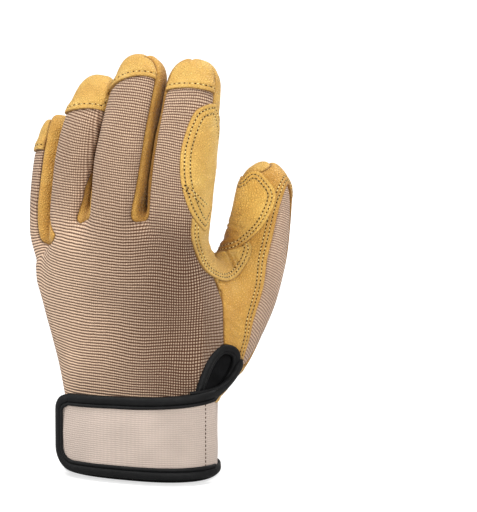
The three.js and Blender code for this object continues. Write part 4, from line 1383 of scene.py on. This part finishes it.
def cuff_point(angle, offset, z):
    """Points round the cuff at angles, distances from its outline and heights, and the way out at each."""
    angle, offset, z = np.broadcast_arrays(*(np.asarray(v, float) for v in (angle, offset, z)))
    power = lambda v, p: np.sign(v) * np.abs(v) ** p
    a, b = power(np.cos(angle), 2 / SQUARENESS), power(np.sin(angle), 2 / SQUARENESS)
    normal = unit(np.stack([power(a, SQUARENESS - 1) / CUFF['width'], power(b, SQUARENESS - 1) / CUFF['depth'],
        np.zeros_like(a)], -1))
    return np.stack([CUFF['x'] + a * CUFF['width'], b * CUFF['depth'], z], -1) + normal * offset[..., None], normal


def even_angles(count, start=0.0, end=2 * math.pi):
    """Angles that are evenly spaced along the cuff's outline, and the outline's length."""
    fine = np.linspace(start, end, 4001)
    run = run_along(cuff_point(fine, 0, 0)[0])
    return np.interp(np.linspace(0, run[-1], count), run, fine), run[-1]


def swept_tape(name, rings, closed, node=None):
    """Tape as a closed mesh from rings of points, turned outwards."""
    rings = np.asarray(rings)
    n, sides = rings.shape[:2]
    points, faces = rings.reshape(-1, 3), grid_faces(n, sides, closed, True)
    if not closed:
        points = np.concatenate([points, rings[0].mean(0)[None], rings[-1].mean(0)[None]])
        first, middle = np.arange(sides), np.full(sides, n * sides)
        last = (n - 1) * sides + first
        caps = [np.stack([middle, first, np.roll(first, -1)], 1), np.stack([middle + 1, np.roll(last, -1), last], 1)]
        faces = np.concatenate([faces, *caps])
    v = points[faces]
    if np.einsum('ij,ij->i', v[:, 0], np.cross(v[:, 1], v[:, 2])).sum() < 0:
        faces = faces[:, ::-1]
    piece = add_mesh(name, points, faces, Made.materials['tape'], sharp=40)
    if node:
        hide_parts(node)


def cuff_net(low, high, start=0.0, end=2 * math.pi, step=1.0):
    """A net on the cuff's outline between two heights and two angles."""
    closed = end - start > 6.28
    run = even_angles(3, start, end)[1]
    angles = even_angles(max(int(run / step), 8) + 1, start, end)[0]
    if closed:
        angles = angles[:-1]
    z = np.linspace(low, high, max(int((high - low) / step), 2) + 1)
    n, m = len(angles), len(z)
    length = np.repeat(np.linspace(0, run, n, endpoint=not closed), m)
    points = cuff_point(angles[:, None], 0, z[None])[0].reshape(-1, 3)
    return Net(points, grid_faces(n, m, closed, False), np.stack([np.repeat(angles, m), length, np.tile(z, n)], 1))


def make_cuff():
    m = Made.materials
    x0, z0, radius = CLIP_HOLE
    hole = lambda p: np.where(p[:, 1] > 0, np.hypot(p[:, 0] - x0, p[:, 2] - z0) - radius, 20)
    wall = cuff_net(1.9, CUFF['top'])
    _, wall = wall.carve(hole(wall.points))
    normal, z = cuff_point(wall.marks[:, 0], 0, 0)[1], wall.points[:, 2]
    swell = 0.18 * waves(wall.points, 5, 14, 40) * smooth_step(37.6, 33, z) * smooth_step(2, 7, z)
    add_shell('cuff_band', wall, wall.points + normal * (swell - 0.02)[:, None], wall.points - normal * CUFF['wall'],
              m['elastic'], {'seam': np.zeros(len(z))}, wall.marks[:, 1:] * MM)
    tab = cuff_net(5.6, CUFF['top'] + 0.4, math.radians(50), math.radians(130), 0.8)
    tab, _ = tab.carve(np.maximum(np.abs(tab.points[:, 0] + 0.5) - 14.25, -1))
    _, tab = tab.carve(hole(tab.points))
    tab = ringed(tab, (0.4, 1.0))
    d, normal = tab.from_rim()[0], cuff_point(tab.marks[:, 0], 0, 0)[1]
    h = 1.75 - 0.25 * smooth_step(0.45, 0, d) + 0.12 * waves(tab.points, 8, 8, 20)
    outer = tab.points + normal * h[:, None]
    add_shell('cuff_tab', tab, outer, tab.points + normal * 0.3, m['leather'],
        {'seam': smooth_step(0.5, 0, d)})
    Made.tab = Net(outer, tab.tris, tab.marks)
    rings = [np.stack([cuff_point(a, off, z)[0] for off, z in HEM_SECTION]) for a in even_angles(221)[0][:-1]]
    swept_tape('new_hem_binding', rings, True, 'hem_binding')


STRAP = {'clear': 2.9, 'start': -14.0, 'end': -143.0, 'reach': 80.0, 'corner': 9.0, 'low_corner': 12.5, 'low': 2.7,
    'high': 48.0, 'droop': 5.0}


def strap_offset(share):
    """How far the strap stands off the cuff's outline."""
    return HEM_PROUD + 0.3 + STRAP['clear'] * (0.2 + share ** 3)


def strap_angle(share):
    """Where a share of the strap's length lies round the cuff."""
    return np.radians(STRAP['start'] + (STRAP['end'] - STRAP['start']) * np.asarray(share))


def strap_drop(left, c):
    """How far a corner of radius c falls back, so far from the strap's end."""
    return np.where(left >= c, 0, c - np.sqrt(np.maximum(c ** 2 - (c - left) ** 2, 0)))


def make_strap():
    m = Made.materials
    reach, bottom, top, droop, corner, turn = (
        STRAP[k] for k in ('reach', 'low', 'high', 'droop', 'corner', 'low_corner'))
    count, rows = 120, 48
    share = np.linspace(0, 1 - 3.0 / reach, count)
    left = (1 - share) * reach
    low = bottom + 3.2 + strap_drop(left, turn) * 0.7
    high = top - droop * share - 3.2 - strap_drop(left, corner) * 0.6
    k = np.linspace(0, 1, rows)
    z = low[:, None] + (high - low)[:, None] * k
    off = strap_offset(share)[:, None] + 1.0 + 0.9 * np.sin(np.pi * k)
    points, normal = (v.reshape(-1, 3) for v in cuff_point(strap_angle(share)[:, None], off, z))
    uv = np.stack([np.repeat(share * reach, rows), z.ravel()], 1) * MM
    net = Net(points, grid_faces(count, rows, False, False)[:, [0, 2, 1]], uv)
    outer = points + normal * (1.2 + 0.12 * waves(points, 21, 10, 30))[:, None]
    add_shell('wrist_strap', net, outer, points - normal * 0.3, m['elastic'],
              {'seam': np.zeros(len(uv))}, uv)
    Made.strap = Net(outer, net.tris, uv)
    # the tape runs along the top edge, round the free end and back: share, height, and the way to its outer edge
    bends, tip = [(math.sin(q), math.cos(q)) for q in np.linspace(0, math.pi / 2, 14)], top - droop
    path = [(s, top - droop * s, 0, 1) for s in np.linspace(0, 1 - corner / reach, 60)]
    path += [(1 - corner * (1 - a) / reach, tip - corner * (1 - b), a, b) for a, b in bends[1:]]
    path += [(1, v, 1, 0) for v in np.linspace(tip - corner, bottom + turn, 20)[1:-1]]
    path += [(1 - turn * (1 - b) / reach, bottom + turn * (1 - a), b, -a) for a, b in bends]
    path += [(s, bottom, 0, -1) for s in np.linspace(1 - turn / reach, 0, 60)[1:]]
    wide = 1.2
    rings = [np.stack([cuff_point(strap_angle(s - du * w * wide / reach), strap_offset(s) + u, v - dv * w * wide)[0]
        for u, w in STRAP_SECTION])
             for s, v, du, dv in path]
    swept_tape('new_strap_binding', rings, False, 'strap_binding')


def cast(start, way, low, high):
    """Where lines from start along one way leave the form, between two distances."""
    low, high = np.full(len(start), low), np.full(len(start), high)
    for _ in range(40):
        mid = (low + high) / 2
        out = Made.grid.at(start + mid[:, None] * way) > 0
        high, low = np.where(out, mid, high), np.where(out, low, mid)
    return start + low[:, None] * way


def ribbon(path, across, out, section, size=1.0):
    """Rings of a section along a path."""
    u, w = np.array(section).T[..., None]
    return path[:, None] + (across[:, None] * u + out[:, None] * w) * size


def make_slit():
    m, grid = Made.materials, Made.grid
    loop = outline(SLIT, 24)
    along = np.array([math.cos(SLIT_TURN), math.sin(SLIT_TURN), 0])
    across = np.array([-math.sin(SLIT_TURN), math.cos(SLIT_TURN), 0])
    path = evened(cast(loop[:, :1] * across + loop[:, 1:] * np.array([0, 0, 1.0]), along, 25.0, 70.0), 6, True)
    normal = evened(unit(grid.slope(path, 2.0)), 10, True, unit)
    out = unit(np.cross(unit(np.roll(path, -1, 0) - np.roll(path, 1, 0)), normal))
    out *= np.sign(((path - path.mean(0)) * out).sum(1).mean())
    swept_tape('new_slit_binding', ribbon(path, out, normal, SLIT_SECTION), True, 'slit_binding')
    net = Made.panels['slit_lining']
    d, n = -slit_distance(net.points), unit(grid.slope(net.points, 2.0))
    h = -1.4 - 5.5 * smooth_step(-1.5, 5.5, d) + 0.6 * waves(net.points, 4, 5, 11) * smooth_step(-1, 2.5, d)
    add_shell('slit_lining', net, net.points + n * h[:, None], net.points + n * (h - 0.9)[:, None],
              m['lining'])
    # the strap's tape, led on up the loop's outer side
    x0, y0, scale = PICTURE
    line = catmull([((x - x0) / scale, (y0 - y) / scale) for x, y in LOOP_BAND], np.linspace(0, 1, 60))
    path = cast(line[:, :1] * RIGHT + line[:, 1:] * UP, TOWARD, 5.0, 60.0)
    share = np.linspace(0, 1, len(path))
    n = evened(unit(grid.slope(path, 2.0)), 30, keep=unit)
    path = evened(path, 30) + n * (3.6 - 1.7 * smooth_step(0, 0.8, share))[:, None]
    across = unit(np.cross(unit(np.gradient(path, axis=0)), n))
    size = 1 - 0.55 * smooth_step(0.86, 1.0, share)
    swept_tape('new_loop_band', ribbon(path, across, n, BAND_SECTION, size[:, None, None]), False)


# Stitches

def stitch_tree():
    """Lays one rounded stitch on each point, along the row and upright on the surface."""
    tree = bpy.data.node_groups.new('Stitch row', 'GeometryNodeTree')
    face = tree.interface
    face.new_socket(name='Points', in_out='INPUT', socket_type='NodeSocketGeometry')
    for label, value in (('Length', 0.0016), ('Width', 0.0007), ('Height', 0.0006), ('Unevenness', 0.1)):
        face.new_socket(name=label, in_out='INPUT', socket_type='NodeSocketFloat').default_value = value
    face.new_socket(name='Seed', in_out='INPUT', socket_type='NodeSocketInt').default_value = 5
    face.new_socket(name='Finish', in_out='INPUT', socket_type='NodeSocketMaterial')
    face.new_socket(name='Stitches', in_out='OUTPUT', socket_type='NodeSocketGeometry')
    t = Tree(tree)
    given, out = t.node('NodeGroupInput').outputs, t.node('NodeGroupOutput').inputs
    ball = t.node('GeometryNodeMeshUVSphere', {'Segments': 6, 'Rings': 4, 'Radius': 0.5}).outputs['Mesh']
    least = t.math('SUBTRACT', 1.0, given['Unevenness'])
    most = t.math('ADD', 1.0, given['Unevenness'])
    share = t.node('FunctionNodeRandomValue', {2: least, 3: most, 'Seed': given['Seed']},
        data_type='FLOAT').outputs[1]
    size = t.node('ShaderNodeCombineXYZ', {'X': t.math('MULTIPLY', given['Length'], share), 'Y': given['Width'],
        'Z': given['Height']}).outputs[0]
    along, up = (t.node('GeometryNodeInputNamedAttribute', {'Name': name},
        data_type='FLOAT_VECTOR').outputs['Attribute']
                 for name in ('along', 'up'))
    turn = t.node('FunctionNodeAlignRotationToVector', {'Vector': along}, axis='X').outputs[0]
    turn = t.node('FunctionNodeAlignRotationToVector', {'Rotation': turn, 'Vector': up}, axis='Z',
        pivot_axis='X').outputs[0]
    laid = t.node('GeometryNodeInstanceOnPoints', {'Points': given['Points'], 'Instance': ball, 'Rotation': turn,
        'Scale': size}).outputs['Instances']
    real = t.node('GeometryNodeRealizeInstances', {'Geometry': laid}).outputs['Geometry']
    smooth = t.node('GeometryNodeSetShadeSmooth', {'Geometry': real}).outputs['Geometry']
    done = t.node('GeometryNodeSetMaterial', {'Geometry': smooth, 'Material': given['Finish']}).outputs['Geometry']
    t.give(out['Stitches'], done)
    return tree


def spaced(chain, pitch, closed=False, offset=0.5):
    """Evenly spaced places on a chain of positions and normals: position, way along and normal."""
    if closed:
        chain = evened(chain[:-1], 8, True)
        chain = np.vstack([chain, chain[:1]])
    else:
        chain = evened(chain, 8)
    run = run_along(chain[:, :3])
    count = int(round(run[-1] / pitch)) if closed else int(run[-1] / pitch)
    if run[-1] < 5 or count < 2:
        return None
    at = lambda d: np.stack([np.interp(d, run, chain[:, c]) for c in range(6)], 1)
    d = (np.arange(count) + offset) * (run[-1] / count)
    here, ahead, behind = at(d), at(np.minimum(d + 0.4, run[-1])), at(np.maximum(d - 0.4, 0))
    return np.column_stack([here[:, :3], unit(ahead[:, :3] - behind[:, :3]), unit(here[:, 3:6])])


def lay_stitches(tree, name, rows, finish, size, lift):
    """One mesh of stitches of a length, width and height, from rows of places."""
    rows = np.concatenate([r for r in rows if r is not None])
    mesh = bpy.data.meshes.new(name)
    mesh.vertices.add(len(rows))
    mesh.vertices.foreach_set('co', ((rows[:, :3] + rows[:, 6:] * lift) * MM).astype(np.float32).ravel())
    for key, block in (('along', rows[:, 3:6]), ('up', rows[:, 6:])):
        mesh.attributes.new(key, 'FLOAT_VECTOR', 'POINT').data.foreach_set('vector', block.astype(np.float32).ravel())
    mesh.update()
    source = linked(name + '_points', mesh)
    modifier = source.modifiers.new('Stitches', 'NODES')
    modifier.node_group = tree
    given = {'Finish': finish, **{key: value * MM for key, value in zip(('Length', 'Width', 'Height'), size)}}
    for item in tree.interface.items_tree:
        if item.item_type == 'SOCKET' and item.in_out == 'INPUT' and item.name in given:
            modifier[item.identifier] = given[item.name]
    bpy.context.view_layer.update()
    graph = bpy.context.evaluated_depsgraph_get()
    made = bpy.data.meshes.new_from_object(source.evaluated_get(graph), depsgraph=graph)
    source.modifiers.clear()
    bpy.data.objects.remove(source)
    for key in ('along', 'up'):
        if key in made.attributes:
            made.attributes.remove(made.attributes[key])
    made.name = name
    piece = linked(name, made)
    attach(piece, 'root')


def thrown(net, line, right, up):
    """A flat line thrown onto a net along the view that right and up span, as positions and normals."""
    toward = np.cross(right, up)
    tree = BVHTree.FromPolygons([tuple(p) for p in net.points], [tuple(int(i) for i in f) for f in net.tris])
    line = np.array(line, float)
    length = np.linalg.norm(np.diff(line, axis=0), axis=1).sum()
    out = []
    for a, b in catmull(line, np.linspace(0, 1, max(int(length / 0.6), 4))):
        spot, normal, _, _ = tree.ray_cast(Vector(a * right + b * up + toward * 200), Vector(-toward))
        if spot is not None:
            out.append([*spot, *(normal if normal.dot(Vector(toward)) > 0 else -normal)])
    return np.array(out)


def beside(line, off):
    """A flat line moved sideways."""
    line = np.array(line, float)
    way = unit(np.gradient(line, axis=0))
    return line + np.stack([-way[:, 1], way[:, 0]], 1) * off


STITCH_PITCH, CAP_PITCH = 2.0, 2.8
CLIP_RING = (0.5, 21.7, 9.4)  # across and up in the palm's view, radius


def make_stitches():
    m, tree, chains = Made.materials, stitch_tree(), []

    def along_edge(name, mark, distance):
        net = Made.dressed[name]
        for chain, closed in line_on(net, net.marks[:, mark] - distance, net.marks[:, TURNED_MARK] > 1.0):
            chains.append((chain[:, :6], closed, CAP_PITCH if name.startswith('tip_cap') else STITCH_PITCH))

    def across_face(net, line, view):
        chains.append((thrown(net, line, *view), False, STITCH_PITCH))
    for name in Made.dressed:
        for row in ROWS.get(family(name), ()):
            along_edge(name, OVER_MARK, row)
    for row in HEEL_ROWS:
        along_edge('palm_leather', UNDER_MARK, row)
    for line in PALM_LINES:
        for off in (-1.1, 1.1):
            across_face(Made.dressed['palm_leather'], beside([(-x, z) for x, z in line], off), PALM_VIEW)
    for off in (-0.95, 0.95):
        across_face(Made.dressed['index_patch'], beside(INDEX_LINE, off), BACK_VIEW)
    for x in (11.9, -10.9):
        across_face(Made.tab, [(x, 8.5), (x, 20), (x, 36)], PALM_VIEW)
    x, z, radius = CLIP_RING
    across_face(Made.tab, [(x + radius * math.cos(q), z + radius * math.sin(q))
        for q in np.linspace(0, 2 * math.pi, 60)], PALM_VIEW)
    chains = [c for c in chains if len(c[0]) > 3]
    threads = [spaced(chain, pitch, closed) for chain, closed, pitch in chains]
    holes = [spaced(chain, pitch, closed, 1.0 if closed else 0.0) for chain, closed, pitch in chains]
    lay_stitches(tree, 'leather_stitches', threads, m['thread'], (1.3, 0.66, 0.5), 0.04)
    # dark discs between the stitches: painted shade in the needle holes
    lay_stitches(tree, 'needle_hole_shade', holes, m['hole'], (1.2, 0.92, 0.46), 0.0)
    dark = [spaced(thrown(Made.strap, [(34.3, y) for y in (1.5, 20, 42.5)], *BACK_VIEW), STITCH_PITCH)]
    lay_stitches(tree, 'strap_stitches', dark, m['strap_thread'], (1.5, 0.65, 0.45), 0.05)


# Stage

FLOOR_HALF, FLOOR_LEVEL = 14, -0.0005  # metres
FLOOR_GLOW, WORLD_GLOW, WORLD_SEEN = 0.62, 0.36, 0.98
CAMERA_AIM, CAMERA_AWAY = (51.0, 109.0), 3.6  # across and up in the view from the back, and metres
LAMP_AIM = (0, 0, 0.1)
# name, place, size, power
LAMPS = (('key', (-0.7, -0.8, 2.4), 0.9, 40), ('side', (-2.0, -1.1, 0.8), 0.9, 17),
    ('front', (1.5, -2.0, 1.0), 1.1, 42), ('rim', (0.8, 1.3, 1.6), 1.0, 30))


def make_floor():
    corners = [(x * FLOOR_HALF, y * FLOOR_HALF, FLOOR_LEVEL) for x, y in ((-1, -1), (1, -1), (1, 1), (-1, 1))]
    mesh = bpy.data.meshes.new('floor')
    mesh.from_pydata(corners, [], [(0, 1, 2, 3)])
    made, t, shader = material('Pale floor')
    seen_straight = t.node('ShaderNodeLightPath').outputs['Is Camera Ray']
    for key, value in (('Base Color', (0.5, 0.5, 0.5, 1)), ('Roughness', 0.95), ('Specular IOR Level', 0.1),
                       ('Emission Color', (1, 1, 1, 1)),
                       ('Emission Strength', t.math('MULTIPLY', seen_straight, FLOOR_GLOW))):
        t.give(shader.inputs[key], value)
    mesh.materials.append(made)
    linked('floor', mesh)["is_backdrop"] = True


def make_stage(shape):
    make_floor()
    scene = bpy.context.scene
    world = scene.world = bpy.data.worlds.new('Studio')
    world.use_nodes = True
    back, w = world.node_tree.nodes['Background'].inputs, Tree(world.node_tree)
    seen_straight = w.node('ShaderNodeLightPath').outputs['Is Camera Ray']
    w.give(back[0], (1, 1, 1, 1))
    w.give(back[1], w.node('ShaderNodeMapRange', {'Value': seen_straight, 'To Min': WORLD_GLOW,
        'To Max': WORLD_SEEN}).outputs['Result'])
    data = bpy.data.cameras.new('camera')
    data.sensor_width, data.sensor_fit, data.clip_end, data.lens = 36, 'AUTO', 60, shape.lens * CAMERA_AWAY
    camera = scene.camera = linked('camera', data)
    place = Vector((CAMERA_AIM[0] * RIGHT + CAMERA_AIM[1] * UP) * MM + TOWARD * CAMERA_AWAY)
    camera.matrix_world = Matrix.Translation(place) @ Matrix((RIGHT, UP, TOWARD)).transposed().to_4x4()
    for name, place, size, power in LAMPS:
        data = bpy.data.lights.new(name, 'AREA')
        data.size, data.energy = size, power
        turned = (Vector(place) - Vector(LAMP_AIM)).to_track_quat('Z', 'Y').to_matrix().to_4x4()
        linked(name, data).matrix_world = Matrix.Translation(place) @ turned
    scene.view_settings.view_transform = 'Standard'


# The add-on

def tint_setting(label, about, value):
    return FloatVectorProperty(name=label, description=about, subtype='COLOR_GAMMA', size=3, default=value, min=0,
        max=1)


def pitch_setting(label, about, value):
    return FloatProperty(name=label, description=about, subtype='DISTANCE', unit='LENGTH', default=value, min=0.0005,
        max=0.005, precision=5)


def height_setting(label, about, value):
    return FloatProperty(name=label, description=about + ", in millimetres", default=value, min=0, max=2)


class GloveLook(PropertyGroup):
    leather_light: tint_setting("Leather light", "Colour where the leather is rubbed lighter", (0.94, 0.80, 0.51))
    leather_main: tint_setting("Leather", "Main colour of the leather", (0.90, 0.725, 0.375))
    leather_shade: tint_setting("Leather dark", "Colour where the leather took more dye", (0.85, 0.66, 0.33))
    # this colour is also the painted shade in the leather's creases, folds, stitch valleys, the thumb's crotch and
    # between the fingers
    seam_and_shade_colour: tint_setting("Seams", "Colour of cut edges and seam lines in the leather", (0.42, 0.235, 0.07))
    knit_light: tint_setting("Knit light", "Colour of the knit's raised ribs", (0.97, 0.83, 0.705))
    knit_dark: tint_setting("Knit dark", "Colour between the knit's ribs", (0.30, 0.175, 0.10))
    elastic_colour: tint_setting("Elastic", "Colour of the cuff and strap", (0.80, 0.73, 0.68))
    tape_colour: tint_setting("Tape", "Colour of the bindings", (0.036, 0.036, 0.039))
    thread_colour: tint_setting("Thread", "Colour of the sewing thread", (0.85, 0.73, 0.49))
    # the painted shade in the needle holes
    hole_shade_colour: tint_setting("Needle holes", "Colour in the needle holes", (0.24, 0.12, 0.035))
    rib_pitch: pitch_setting("Rib pitch", "Distance between the knit's ribs", 0.00144)
    column_pitch: pitch_setting("Column pitch", "Distance between the knit's columns", 0.00118)


class GloveShape(PropertyGroup):
    seam_depth: height_setting("Seam depth", "How deep turned seams lie", 0.9)
    puff: height_setting("Puff", "How far panels stand proud beside their seams", 0.45)
    swell: height_setting("Swell", "Height of the slow unevenness of the panels", 0.28)
    lens: FloatProperty(name="Lens", description="Focal length of the camera, for each metre that it stands away",
                        subtype='DISTANCE_CAMERA', default=137.1, min=20, max=400)


def settings(context):
    return context.scene.glove_look, context.scene.glove_shape


class GLOVE_OT_materials(Operator):
    """Makes the leather, knit, elastic and tape finishes"""
    bl_idname = "glove.materials"
    bl_label = "Finishes"

    def execute(self, context):
        make_materials(settings(context)[0])
        return {'FINISHED'}


class GLOVE_OT_panels(Operator):
    """Makes the leather and knit panels"""
    bl_idname = "glove.panels"
    bl_label = "Panels"

    def execute(self, context):
        Made.grid = Grid()
        Made.panels = make_panels(Made.grid)
        dress(Made.panels, settings(context)[1])
        return {'FINISHED'}


class GLOVE_OT_cuff(Operator):
    """Makes the cuff band, its tab and its hem"""
    bl_idname = "glove.cuff"
    bl_label = "Cuff"

    def execute(self, context):
        make_cuff()
        return {'FINISHED'}


class GLOVE_OT_strap(Operator):
    """Makes the wrist strap and its binding"""
    bl_idname = "glove.strap"
    bl_label = "Strap"

    def execute(self, context):
        make_strap()
        return {'FINISHED'}


class GLOVE_OT_slit(Operator):
    """Makes the slit's binding and lining"""
    bl_idname = "glove.slit"
    bl_label = "Slit"

    def execute(self, context):
        make_slit()
        return {'FINISHED'}


class GLOVE_OT_stitches(Operator):
    """Sews the rows of stitches"""
    bl_idname = "glove.stitches"
    bl_label = "Stitches"

    def execute(self, context):
        make_stitches()
        return {'FINISHED'}


class GLOVE_OT_stage(Operator):
    """Makes the floor, lights and camera"""
    bl_idname = "glove.stage"
    bl_label = "Stage"

    def execute(self, context):
        make_stage(settings(context)[1])
        return {'FINISHED'}


STEPS = (GLOVE_OT_materials, GLOVE_OT_panels, GLOVE_OT_cuff, GLOVE_OT_strap, GLOVE_OT_slit, GLOVE_OT_stitches,
    GLOVE_OT_stage)


class GLOVE_PT_panel(Panel):
    bl_label = "Belay glove"
    bl_space_type = 'VIEW_3D'
    bl_region_type = 'UI'
    bl_category = "Glove"

    def draw(self, context):
        for group in settings(context):
            for name in group.bl_rna.properties.keys():
                if name not in ('rna_type', 'name'):
                    self.layout.prop(group, name)
        for step in STEPS:
            self.layout.operator(step.bl_idname)


CLASSES = (GloveLook, GloveShape, *STEPS, GLOVE_PT_panel)


def register():
    for cls in CLASSES:
        bpy.utils.register_class(cls)
    bpy.types.Scene.glove_look = PointerProperty(type=GloveLook)
    bpy.types.Scene.glove_shape = PointerProperty(type=GloveShape)


def unregister():
    del bpy.types.Scene.glove_shape, bpy.types.Scene.glove_look
    for cls in reversed(CLASSES):
        bpy.utils.unregister_class(cls)


def main():
    register()
    bpy.ops.glove.materials()
    bpy.ops.glove.panels()
    bpy.ops.glove.cuff()
    bpy.ops.glove.strap()
    bpy.ops.glove.slit()
    bpy.ops.glove.stitches()
    bpy.ops.glove.stage()
    plain = lambda box: [[float(v) for v in corner] for corner in box]
    {'cad': plain(START_BOX), 'visual': plain(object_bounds())}


if __name__ == "__main__":
    main()
